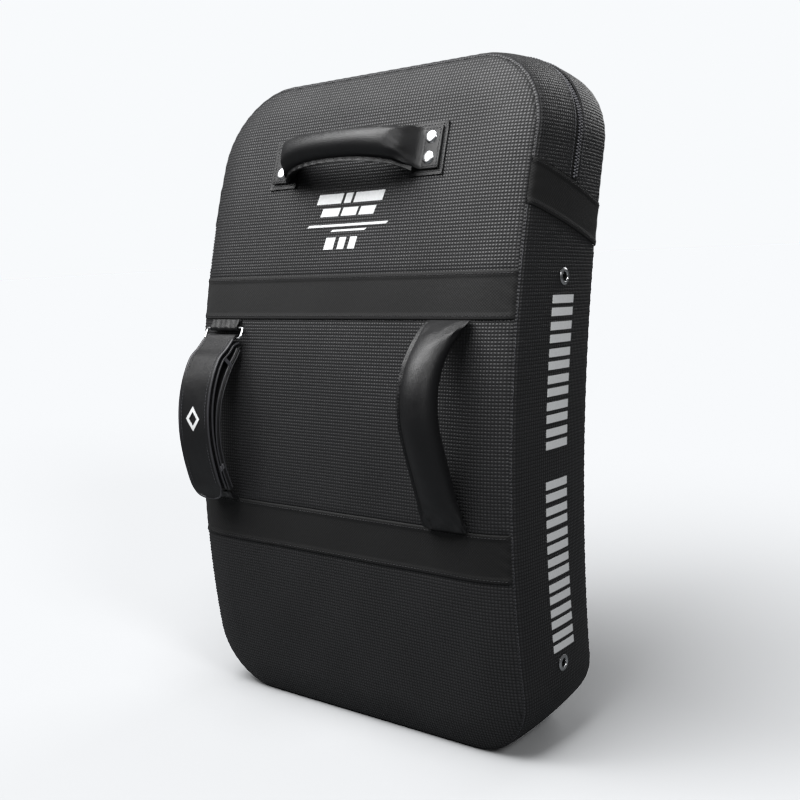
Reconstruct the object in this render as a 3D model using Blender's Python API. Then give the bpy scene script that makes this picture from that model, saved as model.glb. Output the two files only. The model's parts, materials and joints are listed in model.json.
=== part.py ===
"""Curved kick shield: foam block, zipped leather cover, carry handle, grip handle and arm strap.

Metres, +Z up. The shield stands on its flat lower end with the holder's side towards -Y and the
strike side towards +Y. Most shapes are laid out in "shield space" (x, s, w): x across, s up along
the holder's side and w the depth behind it. place() bends that space into the banana curve.
"""

import math

import bmesh
import bpy
from mathutils import Matrix, Vector

# Driving dimensions of the cover
SEAM_WIDTH = 0.455          # across the front seam
SEAM_HEIGHT = 0.739         # bottom to the top seam, along the holder's side
GUSSET_WIDTH = 0.149        # seam to seam, half way up
GUSSET_NARROWING = 0.10     # share of that lost at both ends
CORNER_TOP = 0.088
CORNER_BOTTOM = 0.075
BEND = 0.4216               # 1/m: the holder's side is y = BEND * (s - BEND_HEIGHT) ** 2
BEND_HEIGHT = 0.241
END_TILT = 0.21             # how far the upper end turns square to the bend
GUSSET_BULGE = 0.006
HOLDER_CROWN = 0.010
STRIKE_CROWN = 0.006
CROWN_RUN = 0.045           # the crown falls to nothing over this distance from the seam

# Sheet thicknesses and clearances
LEATHER = 0.0016
GAP = 0.0003
FOAM_GAP = 0.001
STRIKE_EDGE_GAP = 0.0012    # between the gusset's rear edge and the strike cover
FOAM_INSET = 0.005
EDGE_INSET = 0.0005

# Woven bands across the holder's side, and the slanted bands on both gussets
UPPER_BAND = (0.466, 0.515)
LOWER_BAND = (0.201, 0.2522)
BAND_RISE = 0.001
SIDE_BAND_TOP = 0.626
SIDE_BAND_WIDTH = 0.047
SIDE_BAND_DROP = 0.040

# Foam layers, as depths behind the holder's side
HOLDER_FOAM = 0.028
IMPACT_FOAM = 0.034

# Zip over the upper end
ZIP_SLOT = 0.0045
ZIP_TAPE_WIDTH = 0.013
ZIP_TAPE = 0.0008
ZIP_HALF_GAP = 0.0008
ZIP_COIL_WIDTH = 0.0024
ZIP_COIL_RISE = 0.0006
ZIP_END = 0.134             # left end of the zip, from the middle of the upper end
SLIDER_AT = 0.124

# Eyelets
EYELET_HEIGHTS = {"upper": 0.508, "lower": 0.094}
EYELET_BORE = 0.0047
EYELET_RADIUS = 0.009
EYELET_HOLE = 0.0062

# Carry handle
CARRY_HEIGHT = 0.643
CARRY_HALF_SPAN = 0.108     # middle of the handle to its rivets
RIVET_RISE = 0.0115         # rivets above and below the handle's middle line
CARRY_AXIS = 0.0075         # its hinge line, off the face

# Grip handle
GRIP_X = 0.158
GRIP_AXIS = 0.005

# Arm strap
STRAP_X = -0.174
STRAP_HALF = 0.025
RING_BAR = 0.0016
RING_UPPER = (0.456, 0.0050)
RING_LOWER = (0.444, 0.0095)
RING_HALF = 0.031

COLUMNS = (-1, -0.94, -0.88, -0.8, 0.8, 0.88, 0.94, 1)
GUSSET_COLUMNS = (0, 0.12, 0.3, 0.5, 0.7, 0.88, 1)

FINISHES = {
    "embossed_leather": ("2B2B2D", 0.55, 0.0),
    "woven_band": ("222224", 0.75, 0.0),
    "smooth_leather": ("1E1E20", 0.38, 0.0),
    "firm_foam": ("3A3A3C", 0.9, 0.0),
    "soft_foam": ("8A8F94", 0.95, 0.0),
    "core_foam": ("D8D2C0", 0.95, 0.0),
    "nickel": ("D8D9DB", 0.22, 1.0),
    "zip_fabric": ("18181A", 0.8, 0.0),
    "zip_nylon": ("141416", 0.4, 0.0),
    "black_metal": ("1A1A1C", 0.35, 1.0),
    "hook_and_loop": ("161617", 0.95, 0.0),
}


# ---------------------------------------------------------------- scene and meshes

def clear_scene():
    for old in list(bpy.data.objects):
        bpy.data.objects.remove(old, do_unlink=True)


def linear(channel):
    return channel / 12.92 if channel <= 0.04045 else ((channel + 0.055) / 1.055) ** 2.4


def make_materials():
    for name, (colour, roughness, metallic) in FINISHES.items():
        material = bpy.data.materials.new(name)
        material.use_nodes = True
        shader = material.node_tree.nodes["Principled BSDF"]
        rgb = [linear(int(colour[i:i + 2], 16) / 255) for i in (0, 2, 4)]
        shader.inputs["Base Color"].default_value = (*rgb, 1.0)
        shader.inputs["Roughness"].default_value = roughness
        shader.inputs["Metallic"].default_value = metallic


def finish_mesh(name, mesh_data, finish, smooth=True):
    """Make an object of a bmesh, with its faces pointing out."""
    bmesh.ops.recalc_face_normals(mesh_data, faces=mesh_data.faces)
    mesh = bpy.data.meshes.new(name)
    mesh_data.to_mesh(mesh)
    mesh_data.free()
    mesh.materials.append(bpy.data.materials[finish])
    if smooth:
        mesh.shade_smooth()
        mesh.set_sharp_from_angle(angle=math.radians(35))
    made = bpy.data.objects.new(name, mesh)
    bpy.context.scene.collection.objects.link(made)
    return made


def bridge(mesh_data, first, second):
    """Quads between two rings of vertices of the same length."""
    for i in range(len(first)):
        j = (i + 1) % len(first)
        mesh_data.faces.new((first[i], first[j], second[j], second[i]))


def ladder_cap(mesh_data, ring):
    """Close a flat ring with quads between its two halves."""
    last = len(ring) - 1
    for i in range(len(ring) // 2 - 1):
        mesh_data.faces.new((ring[i], ring[i + 1], ring[last - i - 1], ring[last - i]))


def loft(name, sections, finish):
    """A solid through rings of points, with closed ends."""
    mesh_data = bmesh.new()
    rings = [[mesh_data.verts.new(point) for point in section] for section in sections]
    for first, second in zip(rings, rings[1:]):
        bridge(mesh_data, first, second)
    ladder_cap(mesh_data, rings[0])
    ladder_cap(mesh_data, rings[-1])
    return finish_mesh(name, mesh_data, finish)


def sleeve(name, outer, inner, finish):
    """A tube open at both ends, between an outer and an inner set of rings."""
    mesh_data = bmesh.new()
    outside = [[mesh_data.verts.new(point) for point in ring] for ring in outer]
    inside = [[mesh_data.verts.new(point) for point in ring] for ring in inner]
    for rings in (outside, inside):
        for first, second in zip(rings, rings[1:]):
            bridge(mesh_data, first, second)
    bridge(mesh_data, outside[0], inside[0])
    bridge(mesh_data, outside[-1], inside[-1])
    return finish_mesh(name, mesh_data, finish)


def turned(name, profile, matrix, finish, segments=20):
    """Turn a closed profile of (radius, height) points about its own Z, then place it."""
    mesh_data = bmesh.new()
    rings = []
    for radius, height in profile:
        if radius == 0:
            rings.append([mesh_data.verts.new(matrix @ Vector((0, 0, height)))])
            continue
        ring = []
        for k in range(segments):
            angle = 2 * math.pi * k / segments
            point = Vector((radius * math.cos(angle), radius * math.sin(angle), height))
            ring.append(mesh_data.verts.new(matrix @ point))
        rings.append(ring)
    pairs = list(zip(rings, rings[1:]))
    if len(rings[0]) > 1:
        pairs.append((rings[-1], rings[0]))
    for first, second in pairs:
        if len(first) > 1 and len(second) > 1:
            bridge(mesh_data, first, second)
            continue
        tip, ring = (first[0], second) if len(first) == 1 else (second[0], first)
        for k in range(segments):
            mesh_data.faces.new((tip, ring[k], ring[(k + 1) % segments]))
    return finish_mesh(name, mesh_data, finish)


def block(name, size, centre, matrix, finish):
    """A box of the given size about centre, placed by matrix."""
    mesh_data = bmesh.new()
    bmesh.ops.create_cube(mesh_data, size=1.0)
    bmesh.ops.scale(mesh_data, vec=Vector(size), verts=mesh_data.verts)
    bmesh.ops.translate(mesh_data, vec=Vector(centre), verts=mesh_data.verts)
    bmesh.ops.transform(mesh_data, matrix=matrix, verts=mesh_data.verts)
    return finish_mesh(name, mesh_data, finish, smooth=False)


def boolean(target, tool, operation):
    """Apply a Boolean with another object, then remove that object."""
    modifier = target.modifiers.new(operation.lower(), "BOOLEAN")
    modifier.operation = operation
    modifier.solver = "EXACT"
    modifier.object = tool
    graph = bpy.context.evaluated_depsgraph_get()
    mesh = bpy.data.meshes.new_from_object(target.evaluated_get(graph))
    target.modifiers.clear()
    target.data = mesh
    bpy.data.objects.remove(tool, do_unlink=True)


def drill(target, radius, depth_range, matrix, segments=20):
    """Cut a round hole along matrix's Z, between the two heights of depth_range."""
    low, high = depth_range
    profile = ((0, low), (radius, low), (radius, high), (0, high))
    boolean(target, turned("drill", profile, matrix, "nickel", segments), "DIFFERENCE")


def hang_on(axis_name, point, pieces):
    """Parent moving pieces to an empty that sits on their joint's axis."""
    empty = bpy.data.objects.new(axis_name, None)
    empty.empty_display_size = 0.03
    empty.location = point
    bpy.context.scene.collection.objects.link(empty)
    for piece in pieces:
        piece.parent = empty
        piece.matrix_parent_inverse = Matrix.Translation(-Vector(point))
    return empty


# ---------------------------------------------------------------- shield space

def face_depth(s):
    return BEND * (s - BEND_HEIGHT) ** 2


def gusset_width(s):
    half = SEAM_HEIGHT / 2
    return GUSSET_WIDTH * (1 - GUSSET_NARROWING * ((s - half) / half) ** 2)


def place(x, s, w):
    """Shield space to the world, before the whole shield is centred over its origin."""
    slope = 2 * BEND * max(s - BEND_HEIGHT, 0)
    return Vector((x, face_depth(s) + w, s - END_TILT * slope * w))


def corner_at(s, inset=0.0):
    """Corner radius of the outline's nearer end, and how far s reaches into that corner."""
    if s > SEAM_HEIGHT / 2:
        radius = CORNER_TOP - inset
        return radius, s - (SEAM_HEIGHT - inset - radius)
    radius = CORNER_BOTTOM - inset
    return radius, inset + radius - s


def half_width(s, inset=0.0):
    radius, reach = corner_at(s, inset)
    half = SEAM_WIDTH / 2 - inset
    if reach <= 0:
        return half
    return half - radius + math.sqrt(max(radius ** 2 - reach ** 2, 0))


def crown(x, s, height):
    """How far a padded side stands out at (x, s): nothing at the seam, height further in."""
    radius, reach = corner_at(s)
    side = abs(x) - (SEAM_WIDTH / 2 - radius)
    if reach > 0 and side > 0:
        inside = radius - math.hypot(side, reach)
    else:
        inside = radius - max(side, reach)
    share = min(max(inside / CROWN_RUN, 0), 1)
    return height * (1 - (1 - share) ** 2)


def rows_between(low, high):
    """Row heights from low to high: along the corner arcs, and evenly between them."""
    steps = [math.radians(15 * k) for k in range(7)]
    rows = [CORNER_BOTTOM * (1 - math.cos(a)) for a in steps]
    rows += [SEAM_HEIGHT - CORNER_TOP * (1 - math.cos(a)) for a in steps]
    middle = SEAM_HEIGHT - CORNER_TOP - CORNER_BOTTOM
    rows += [CORNER_BOTTOM + middle * k / 20 for k in range(1, 20)]
    kept = [s for s in sorted(rows) if low + 0.0015 < s < high - 0.0015]
    return [low, *kept, high]


def slab(name, low, high, near, far, finish, inset=EDGE_INSET):
    """A sheet or layer from low to high. near(x, s) and far(x, s) are its depths."""
    sections = []
    for s in rows_between(max(low, inset), min(high, SEAM_HEIGHT - inset)):
        xs = [half_width(s, inset) * u for u in COLUMNS]
        front = [place(x, s, near(x, s)) for x in xs]
        back = [place(x, s, far(x, s)) for x in reversed(xs)]
        sections.append(front + back)
    return loft(name, sections, finish)


def on_face(x, s, off):
    """A point standing off the crowned holder's side."""
    return place(x, s, -HOLDER_CROWN - off)


def face_frame(x, s):
    """Local frame on the holder's side: X across, Y up along it, Z straight out of it."""
    slope = 2 * BEND * (s - BEND_HEIGHT)
    out = Vector((0, -1, slope)).normalized()
    across = Vector((1, 0, 0))
    up = out.cross(across)
    matrix = Matrix((across, up, out)).transposed().to_4x4()
    matrix.translation = on_face(x, s, 0)
    return matrix


# ---------------------------------------------------------------- gusset space

BOTTOM_RUN = SEAM_WIDTH / 2 - CORNER_BOTTOM
BOTTOM_ARC = math.pi / 2 * CORNER_BOTTOM
SIDE_RUN = SEAM_HEIGHT - CORNER_TOP - CORNER_BOTTOM
TOP_ARC = math.pi / 2 * CORNER_TOP
TOP_RUN = SEAM_WIDTH / 2 - CORNER_TOP
SIDE_START = BOTTOM_RUN + BOTTOM_ARC
SIDE_END = SIDE_START + SIDE_RUN
TOP_START = SIDE_END + TOP_ARC
HALF_ROUND = TOP_START + TOP_RUN


def around_at(s):
    """Distance around the seam, from the middle of the bottom, of a height on the side."""
    return SIDE_START + s - CORNER_BOTTOM


def seam_point(around):
    """Point (x, s), outward normal and bulge share at a distance around the seam.

    The distance runs from the middle of the bottom, up the +X side and on round; below zero
    it runs up the -X side.
    """
    mirror = -1 if around < 0 or around > HALF_ROUND else 1
    run = abs(around) if around < 0 else around
    run = 2 * HALF_ROUND - run if run > HALF_ROUND else run
    half = SEAM_WIDTH / 2
    if run <= BOTTOM_RUN:
        x, s, nx, ns, share = run, 0.0, 0.0, -1.0, 0.0
    elif run <= SIDE_START:
        angle = (run - BOTTOM_RUN) / CORNER_BOTTOM
        nx, ns = math.sin(angle), -math.cos(angle)
        x = half - CORNER_BOTTOM + CORNER_BOTTOM * nx
        s = CORNER_BOTTOM + CORNER_BOTTOM * ns
        share = nx ** 2
    elif run <= SIDE_END:
        x, s, nx, ns, share = half, CORNER_BOTTOM + run - SIDE_START, 1.0, 0.0, 1.0
    elif run <= TOP_START:
        angle = (run - SIDE_END) / CORNER_TOP
        nx, ns = math.cos(angle), math.sin(angle)
        x = half - CORNER_TOP + CORNER_TOP * nx
        s = SEAM_HEIGHT - CORNER_TOP + CORNER_TOP * ns
        share = 1.0
    else:
        x, s, nx, ns, share = HALF_ROUND - run, SEAM_HEIGHT, 0.0, 1.0, 1.0
    return mirror * x, s, mirror * nx, ns, share


def gusset_surface(around, w):
    """A point on the bulged outside of the gusset, w behind the holder's side."""
    x, s, nx, ns, share = seam_point(around)
    v = w / gusset_width(s)
    out = GUSSET_BULGE * share * 4 * v * (1 - v)
    return place(x + nx * out, s + ns * out, w)


def gusset_point(around, w, depth):
    """A point at a depth square below the gusset's outside."""
    step = 0.0005
    along = gusset_surface(around + step, w) - gusset_surface(around - step, w)
    over = gusset_surface(around, w + step) - gusset_surface(around, w - step)
    return gusset_surface(around, w) - over.cross(along).normalized() * depth


def side_band_edge(s, w):
    """Distance around the seam of a slanted line that starts at height s on the front seam."""
    return around_at(s) - SIDE_BAND_DROP * w / GUSSET_WIDTH


def stations(start, end):
    """Distances around the seam between start and end, close together on the corners."""
    marks = []
    for side in (-1, 1):
        marks += [side * BOTTOM_RUN * k / 2 for k in range(3)]
        marks += [side * (BOTTOM_RUN + BOTTOM_ARC * k / 6) for k in range(1, 7)]
        marks += [side * (SIDE_START + SIDE_RUN * k / 16) for k in range(1, 17)]
    for side in (-1, 1):
        marks += [HALF_ROUND + side * TOP_RUN * k / 2 for k in range(3)]
        marks += [HALF_ROUND + side * (TOP_RUN + TOP_ARC * k / 6) for k in range(1, 7)]
    marks += [2 * HALF_ROUND - SIDE_START - SIDE_RUN * k / 16 for k in range(16)]
    kept = [m for m in sorted(set(marks)) if start + 0.002 < m < end - 0.002]
    return [start, *kept, end]


def strip(name, start, end, edges, fade, finish, depths=(0.0, LEATHER), columns=GUSSET_COLUMNS):
    """A strip of gusset between two slanted ends.

    start(w) and end(w) are its ends as distances around the seam, and edges(around, width) its
    two edges as depths. The slant of each end fades out over the length fade.
    """
    first, last = start(0.0), end(0.0)
    sections = []
    for around in stations(first, last):
        low, high = edges(around, gusset_width(seam_point(around)[1]))
        near_start = max(0.0, 1 - (around - first) / fade)
        near_end = max(0.0, 1 - (last - around) / fade)
        outer, inner = [], []
        for column in columns:
            w = low + (high - low) * column
            shifted = around + (start(w) - first) * near_start + (end(w) - last) * near_end
            outer.append(gusset_point(shifted, w, depths[0]))
            inner.append(gusset_point(shifted, w, depths[1]))
        sections.append(outer + inner[::-1])
    return loft(name, sections, finish)


def side_frame(side, s):
    """Local frame on a gusset's middle line at height s, with Z straight out of the shield."""
    around = around_at(s)
    point = gusset_point(around, gusset_width(s) / 2, 0.0)
    out = Vector((side, 0, 0))
    up = Vector((0, 0, 1))
    matrix = Matrix((up.cross(out), up, out)).transposed().to_4x4()
    matrix.translation = Vector((side * point.x, point.y, point.z))
    return matrix


def top_frame(x):
    """Local frame on the zip's line over the upper end: X along the zip, Z straight out."""
    middle = gusset_width(SEAM_HEIGHT) / 2
    along = Vector((1, 0, 0))
    rear = gusset_point(HALF_ROUND, middle + 0.001, 0.0)
    front = gusset_point(HALF_ROUND, middle - 0.001, 0.0)
    across = (rear - front).normalized()
    matrix = Matrix((along, across, along.cross(across))).transposed().to_4x4()
    matrix.translation = gusset_point(HALF_ROUND - x, middle, 0.0)
    return matrix


# ---------------------------------------------------------------- foam and cover

def make_foam():
    def behind_cover(x, s):
        return LEATHER + FOAM_GAP - crown(x, s, HOLDER_CROWN)

    def ahead_of_cover(x, s):
        return gusset_width(s) + crown(x, s, STRIKE_CROWN) - LEATHER - FOAM_GAP

    low, high = 0.0, SEAM_HEIGHT
    holder = slab("holder_foam_layer", low, high, behind_cover, lambda x, s: HOLDER_FOAM,
                  "soft_foam", FOAM_INSET)
    slab("core_foam_block", low, high, lambda x, s: HOLDER_FOAM + FOAM_GAP / 2,
         lambda x, s: gusset_width(s) - IMPACT_FOAM, "core_foam", FOAM_INSET)
    slab("impact_foam_layer", low, high, lambda x, s: gusset_width(s) - IMPACT_FOAM + FOAM_GAP / 2,
         ahead_of_cover, "firm_foam", FOAM_INSET)
    return holder


def make_holder_side():
    """The three embossed panels of the holder's side and the two woven bands between them."""
    def outside(x, s):
        return -crown(x, s, HOLDER_CROWN)

    def inside(x, s):
        return LEATHER - crown(x, s, HOLDER_CROWN)

    def band_outside(x, s):
        return outside(x, s) - BAND_RISE

    lower_low, lower_high = LOWER_BAND
    upper_low, upper_high = UPPER_BAND
    panels = {
        "holder_face_lower_panel": (0.0, lower_low - GAP),
        "holder_face_middle_panel": (lower_high + GAP, upper_low - GAP),
        "holder_face_upper_panel": (upper_high + GAP, SEAM_HEIGHT),
    }
    made = {name: slab(name, *span, outside, inside, "embossed_leather")
            for name, span in panels.items()}
    slab("lower_face_band", lower_low, lower_high, band_outside, inside, "woven_band")
    slab("upper_face_band", upper_low, upper_high, band_outside, inside, "woven_band")
    return made["holder_face_upper_panel"]


def make_strike_side():
    def outside(x, s):
        return gusset_width(s) + crown(x, s, STRIKE_CROWN)

    def inside(x, s):
        return outside(x, s) - LEATHER

    slab("strike_face_cover", 0.0, SEAM_HEIGHT, inside, outside, "embossed_leather")


def zip_slot(around):
    """Half the slot's width: open along the zip, then closing to a plain butt seam."""
    past_end = around - (HALF_ROUND + ZIP_END + 0.006)
    share = min(max(past_end / 0.010, 0.0), 1.0)
    return ZIP_SLOT + (GAP / 2 - ZIP_SLOT) * share


def make_gusset():
    edge, rear_edge = LEATHER + GAP, LEATHER + STRIKE_EDGE_GAP
    band_low = SIDE_BAND_TOP - SIDE_BAND_WIDTH

    def whole(around, width):
        return edge, width - rear_edge

    lower = strip("lower_gusset", lambda w: -side_band_edge(band_low, w) + GAP,
                  lambda w: side_band_edge(band_low, w) - GAP, whole, 0.2, "embossed_leather")
    strip("right_gusset_band", lambda w: side_band_edge(band_low, w),
          lambda w: side_band_edge(SIDE_BAND_TOP, w), whole, SIDE_BAND_WIDTH, "woven_band")
    strip("left_gusset_band", lambda w: -side_band_edge(SIDE_BAND_TOP, w),
          lambda w: -side_band_edge(band_low, w), whole, SIDE_BAND_WIDTH, "woven_band")

    def right_end(w):
        return side_band_edge(SIDE_BAND_TOP, w) + GAP

    def left_end(w):
        return 2 * HALF_ROUND - right_end(w)

    straight = SIDE_END - around_at(SIDE_BAND_TOP)
    columns = (0, 0.25, 0.6, 1)
    strip("upper_gusset_front", right_end, left_end,
          lambda around, width: (edge, width / 2 - zip_slot(around)),
          straight, "embossed_leather", columns=columns)
    strip("upper_gusset_rear", right_end, left_end,
          lambda around, width: (width / 2 + zip_slot(around), width - rear_edge),
          straight, "embossed_leather", columns=columns)
    return lower


def make_zip():
    """Two tapes and two coil halves over the upper end, with a stop at their left end."""
    straight = SIDE_END - around_at(SIDE_BAND_TOP)
    parts = {
        "zip_tape": (ZIP_HALF_GAP, ZIP_TAPE_WIDTH, LEATHER + 2 * GAP, ZIP_TAPE, -0.008, 0.005,
                     "zip_fabric"),
        "zip_coil": (ZIP_HALF_GAP, ZIP_HALF_GAP + ZIP_COIL_WIDTH, -ZIP_COIL_RISE,
                     ZIP_COIL_RISE + LEATHER, 2 * GAP, 0.0, "zip_nylon"),
    }
    for name, (near, far, depth, thickness, from_band, past_end, finish) in parts.items():
        for side, word in ((-1, "front"), (1, "rear")):
            def edges(around, width, side=side, near=near, far=far):
                return width / 2 + side * near, width / 2 + side * far

            def right_end(w, from_band=from_band):
                return side_band_edge(SIDE_BAND_TOP, w) + from_band

            def left_end(w, past_end=past_end):
                return HALF_ROUND + ZIP_END + past_end

            strip(f"{name}_{word}", right_end, left_end, edges, straight, finish,
                  depths=(depth, depth + thickness), columns=(0, 1))
    block("zip_end_stop", (0.0035, 0.0068, 0.0024), (0, 0, -0.0004), top_frame(-ZIP_END - 0.0023),
          "nickel")


def make_slider():
    """Slider with its bridge, and the pull whose crossbar passes under that bridge."""
    frame = top_frame(-SLIDER_AT)
    boxes = {
        "slider_post": ((0.0026, 0.0010, 0.0060), (0, 0, -0.0016)),
        "slider_foot": ((0.0090, 0.0080, 0.0012), (0, 0, -0.0040)),
        "slider_left_leg": ((0.0012, 0.0022, 0.0026), (-0.0036, 0, 0.0036)),
        "slider_right_leg": ((0.0012, 0.0022, 0.0026), (0.0036, 0, 0.0036)),
        "slider_bridge": ((0.0084, 0.0022, 0.0010), (0, 0, 0.0048)),
    }
    slider = block("zip_slider", (0.0110, 0.0096, 0.0016), (0, 0, 0.0017), frame, "black_metal")
    for name, (size, centre) in boxes.items():
        boolean(slider, block(name, size, centre, frame, "black_metal"), "UNION")
    hinge = Vector((-0.0018, 0, 0.0034))
    pull = block("zip_pull_tab", (0.0260, 0.0064, 0.0010), hinge + Vector((-0.0125, 0, 0)), frame,
                 "black_metal")
    window = block("pull_window", (0.0075, 0.0032, 0.0040), hinge + Vector((-0.00425, 0, 0)), frame,
                   "black_metal")
    boolean(pull, window, "DIFFERENCE")
    slide = hang_on("zip_slider_slide", frame.translation, [slider])
    swing = hang_on("zip_pull_swing", frame @ hinge, [pull])
    swing.parent = slide
    swing.matrix_parent_inverse = Matrix.Translation(-frame.translation)


def make_eyelets(gusset):
    bore, rim = EYELET_BORE, EYELET_RADIUS
    profile = ((bore, -0.0038), (bore, 0.0011), (0.0052, 0.0015), (0.0075, 0.0014), (rim, 0.0006),
               (rim, GAP), (0.0056, GAP), (0.0056, -0.0032), (0.0070, -0.0034), (0.0070, -0.0038))
    washer = ((0.0060, -0.0029), (0.0060, -0.0019), (rim, -0.0019), (rim, -0.0029))
    for side, side_word in ((1, "right"), (-1, "left")):
        for word, height in EYELET_HEIGHTS.items():
            frame = side_frame(side, height)
            drill(gusset, EYELET_HOLE, (-0.004, 0.003), frame)
            turned(f"eyelet_{side_word}_{word}", profile, frame, "nickel")
            turned(f"eyelet_washer_{side_word}_{word}", washer, frame, "nickel")


# ---------------------------------------------------------------- handles

def oval(centre, across, out, half_across, half_out, power=2.0, count=16):
    """A ring of points on a superellipse, in the plane of the directions across and out."""
    ring = []
    for k in range(count):
        angle = 2 * math.pi * (k + 0.5) / count
        c, s = math.cos(angle), math.sin(angle)
        x = math.copysign(abs(c) ** (2 / power), c) * half_across
        y = math.copysign(abs(s) ** (2 / power), s) * half_out
        ring.append(centre + across * x + out * y)
    return ring


HANDLE_WALL = 0.002

# Carry handle, from its middle out: x, height off the face, half height, half depth
CARRY_STATIONS = (
    (0.000, 0.0390, 0.0155, 0.0155), (0.018, 0.0385, 0.0155, 0.0155),
    (0.034, 0.0360, 0.0155, 0.0165), (0.050, 0.0295, 0.0150, 0.0170),
    (0.065, 0.0200, 0.0125, 0.0120), (0.076, 0.0120, 0.0090, 0.0080),
    (0.082, 0.0095, 0.0060, 0.0055),
)
CARRY_TAB_STATIONS = (
    (0.0835, 0.0085, 0.0080, 0.0050), (0.0870, 0.0065, 0.0170, 0.0036),
    (0.0925, 0.0038, 0.0230, 0.0016), (0.0950, 0.00335, 0.0235, 0.00125),
    (0.1210, 0.00335, 0.0235, 0.00125),
)
CARRY_PATCH = (0.044, 0.058, 0.0015)


def make_carry_handle(panel, foam):
    frame = face_frame(0, CARRY_HEIGHT)
    across, up, out = (frame.to_3x3().col[k] for k in range(3))

    def station(x, off, half_up, half_out, less=0.0):
        centre = frame.translation + across * x + out * off
        return oval(centre, up, out, half_up - less, half_out - less)

    whole = [(-x, *rest) for x, *rest in reversed(CARRY_STATIONS[1:])] + list(CARRY_STATIONS)
    outer = [station(*values) for values in whole]
    grip = sleeve("carry_handle_sleeve", outer, [station(*v, HANDLE_WALL) for v in whole],
                  "smooth_leather")
    core = loft("carry_handle_core", [station(*v, HANDLE_WALL + GAP) for v in whole], "soft_foam")
    hang_on("carry_handle_swing", frame @ Vector((0, 0, CARRY_AXIS)), [grip, core])

    rivet = ((0, 0.0072), (0.0025, 0.0071), (0.0046, 0.0065), (0.0062, 0.0055), (0.0065, 0.0049),
             (0.0020, 0.0049), (0.0020, -0.0030), (0.0032, -0.0032), (0.0032, -0.0039), (0, -0.0039))
    washer = ((0.0024, -0.0028), (0.0024, -0.0019), (0.0055, -0.0019), (0.0055, -0.0028))
    for side, side_word in ((1, "right"), (-1, "left")):
        end = face_frame(side * (CARRY_HALF_SPAN - 0.0015), CARRY_HEIGHT)
        patch = block(f"carry_handle_{side_word}_patch", CARRY_PATCH,
                      (0, 0, GAP + CARRY_PATCH[2] / 2), end, "smooth_leather")
        sections = []
        for x, off, half_up, half_out in CARRY_TAB_STATIONS:
            centre = frame.translation + across * (side * x) + out * off
            sections.append(oval(centre, up, out, half_up, half_out, power=5.0))
        tab = loft(f"carry_handle_{side_word}_tab", sections, "smooth_leather")
        for rise, word in ((RIVET_RISE, "upper"), (-RIVET_RISE, "lower")):
            at = face_frame(side * CARRY_HALF_SPAN, CARRY_HEIGHT) @ Matrix.Translation((0, rise, 0))
            for sheet in (patch, tab, panel):
                drill(sheet, 0.0023, (-0.004, 0.008), at, segments=16)
            drill(foam, 0.0065, (-0.0046, 0.001), at, segments=16)
            turned(f"rivet_{side_word}_{word}", rivet, at, "nickel", segments=16)
            turned(f"rivet_washer_{side_word}_{word}", washer, at, "nickel", segments=16)


# Grip handle, top to bottom: height, distance off the face, half width, half depth
GRIP_TOP_TAB = (
    (0.4655, 0.0029, 0.0310, 0.0025), (0.4625, 0.0050, 0.0300, 0.0040),
    (0.4575, 0.0100, 0.0260, 0.0075), (0.4520, 0.0170, 0.0200, 0.0115),
)
GRIP_STATIONS = (
    (0.4510, 0.0195, 0.0180, 0.0130), (0.4420, 0.0290, 0.0180, 0.0180),
    (0.4270, 0.0405, 0.0175, 0.0195), (0.4080, 0.0475, 0.0175, 0.0175),
    (0.3880, 0.0490, 0.0175, 0.0175), (0.3650, 0.0460, 0.0175, 0.0180),
    (0.3400, 0.0365, 0.0175, 0.0190), (0.3150, 0.0260, 0.0175, 0.0175),
    (0.2900, 0.0155, 0.0165, 0.0120),
)
GRIP_BOTTOM_TAB = (
    (0.2885, 0.0145, 0.0165, 0.0100), (0.2790, 0.0110, 0.0200, 0.0080),
    (0.2680, 0.0070, 0.0260, 0.0055), (0.2580, 0.0040, 0.0300, 0.0032),
    (0.2527, 0.0029, 0.0310, 0.0025),
)


def make_grip_handle():
    across, out = Vector((1, 0, 0)), Vector((0, -1, 0))

    def station(s, off, half_across, half_out, less=0.0, power=2.0):
        return oval(on_face(GRIP_X, s, off), across, out, half_across - less, half_out - less, power)

    outer = [station(*values) for values in GRIP_STATIONS]
    inner = [station(*values, HANDLE_WALL) for values in GRIP_STATIONS]
    grip = sleeve("grip_handle_sleeve", outer, inner, "smooth_leather")
    core = loft("grip_handle_core", [station(*v, HANDLE_WALL + GAP) for v in GRIP_STATIONS],
                "soft_foam")
    for name, tab in (("upper", GRIP_TOP_TAB), ("lower", GRIP_BOTTOM_TAB)):
        loft(f"grip_handle_{name}_tab", [station(*v, power=3.0) for v in tab], "smooth_leather")
    hang_on("grip_handle_swing", on_face(GRIP_X, UPPER_BAND[0], GRIP_AXIS), [grip, core])


# ---------------------------------------------------------------- arm strap

def arc(centre, radius, first, last, count):
    """Points (s, off) on an arc; angles in degrees turn from up the face towards off it."""
    points = []
    for k in range(count):
        angle = math.radians(first + (last - first) * k / (count - 1))
        points.append((centre[0] + radius * math.cos(angle), centre[1] + radius * math.sin(angle)))
    return points


def path_normals(path):
    normals = []
    for i in range(len(path)):
        a, b = path[max(i - 1, 0)], path[min(i + 1, len(path) - 1)]
        ds, do = b[0] - a[0], b[1] - a[1]
        length = math.hypot(ds, do)
        normals.append((-do / length, ds / length))
    return normals


def offset_path(path, distance):
    return [(s + ns * distance, o + no * distance)
            for (s, o), (ns, no) in zip(path, path_normals(path))]


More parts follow.
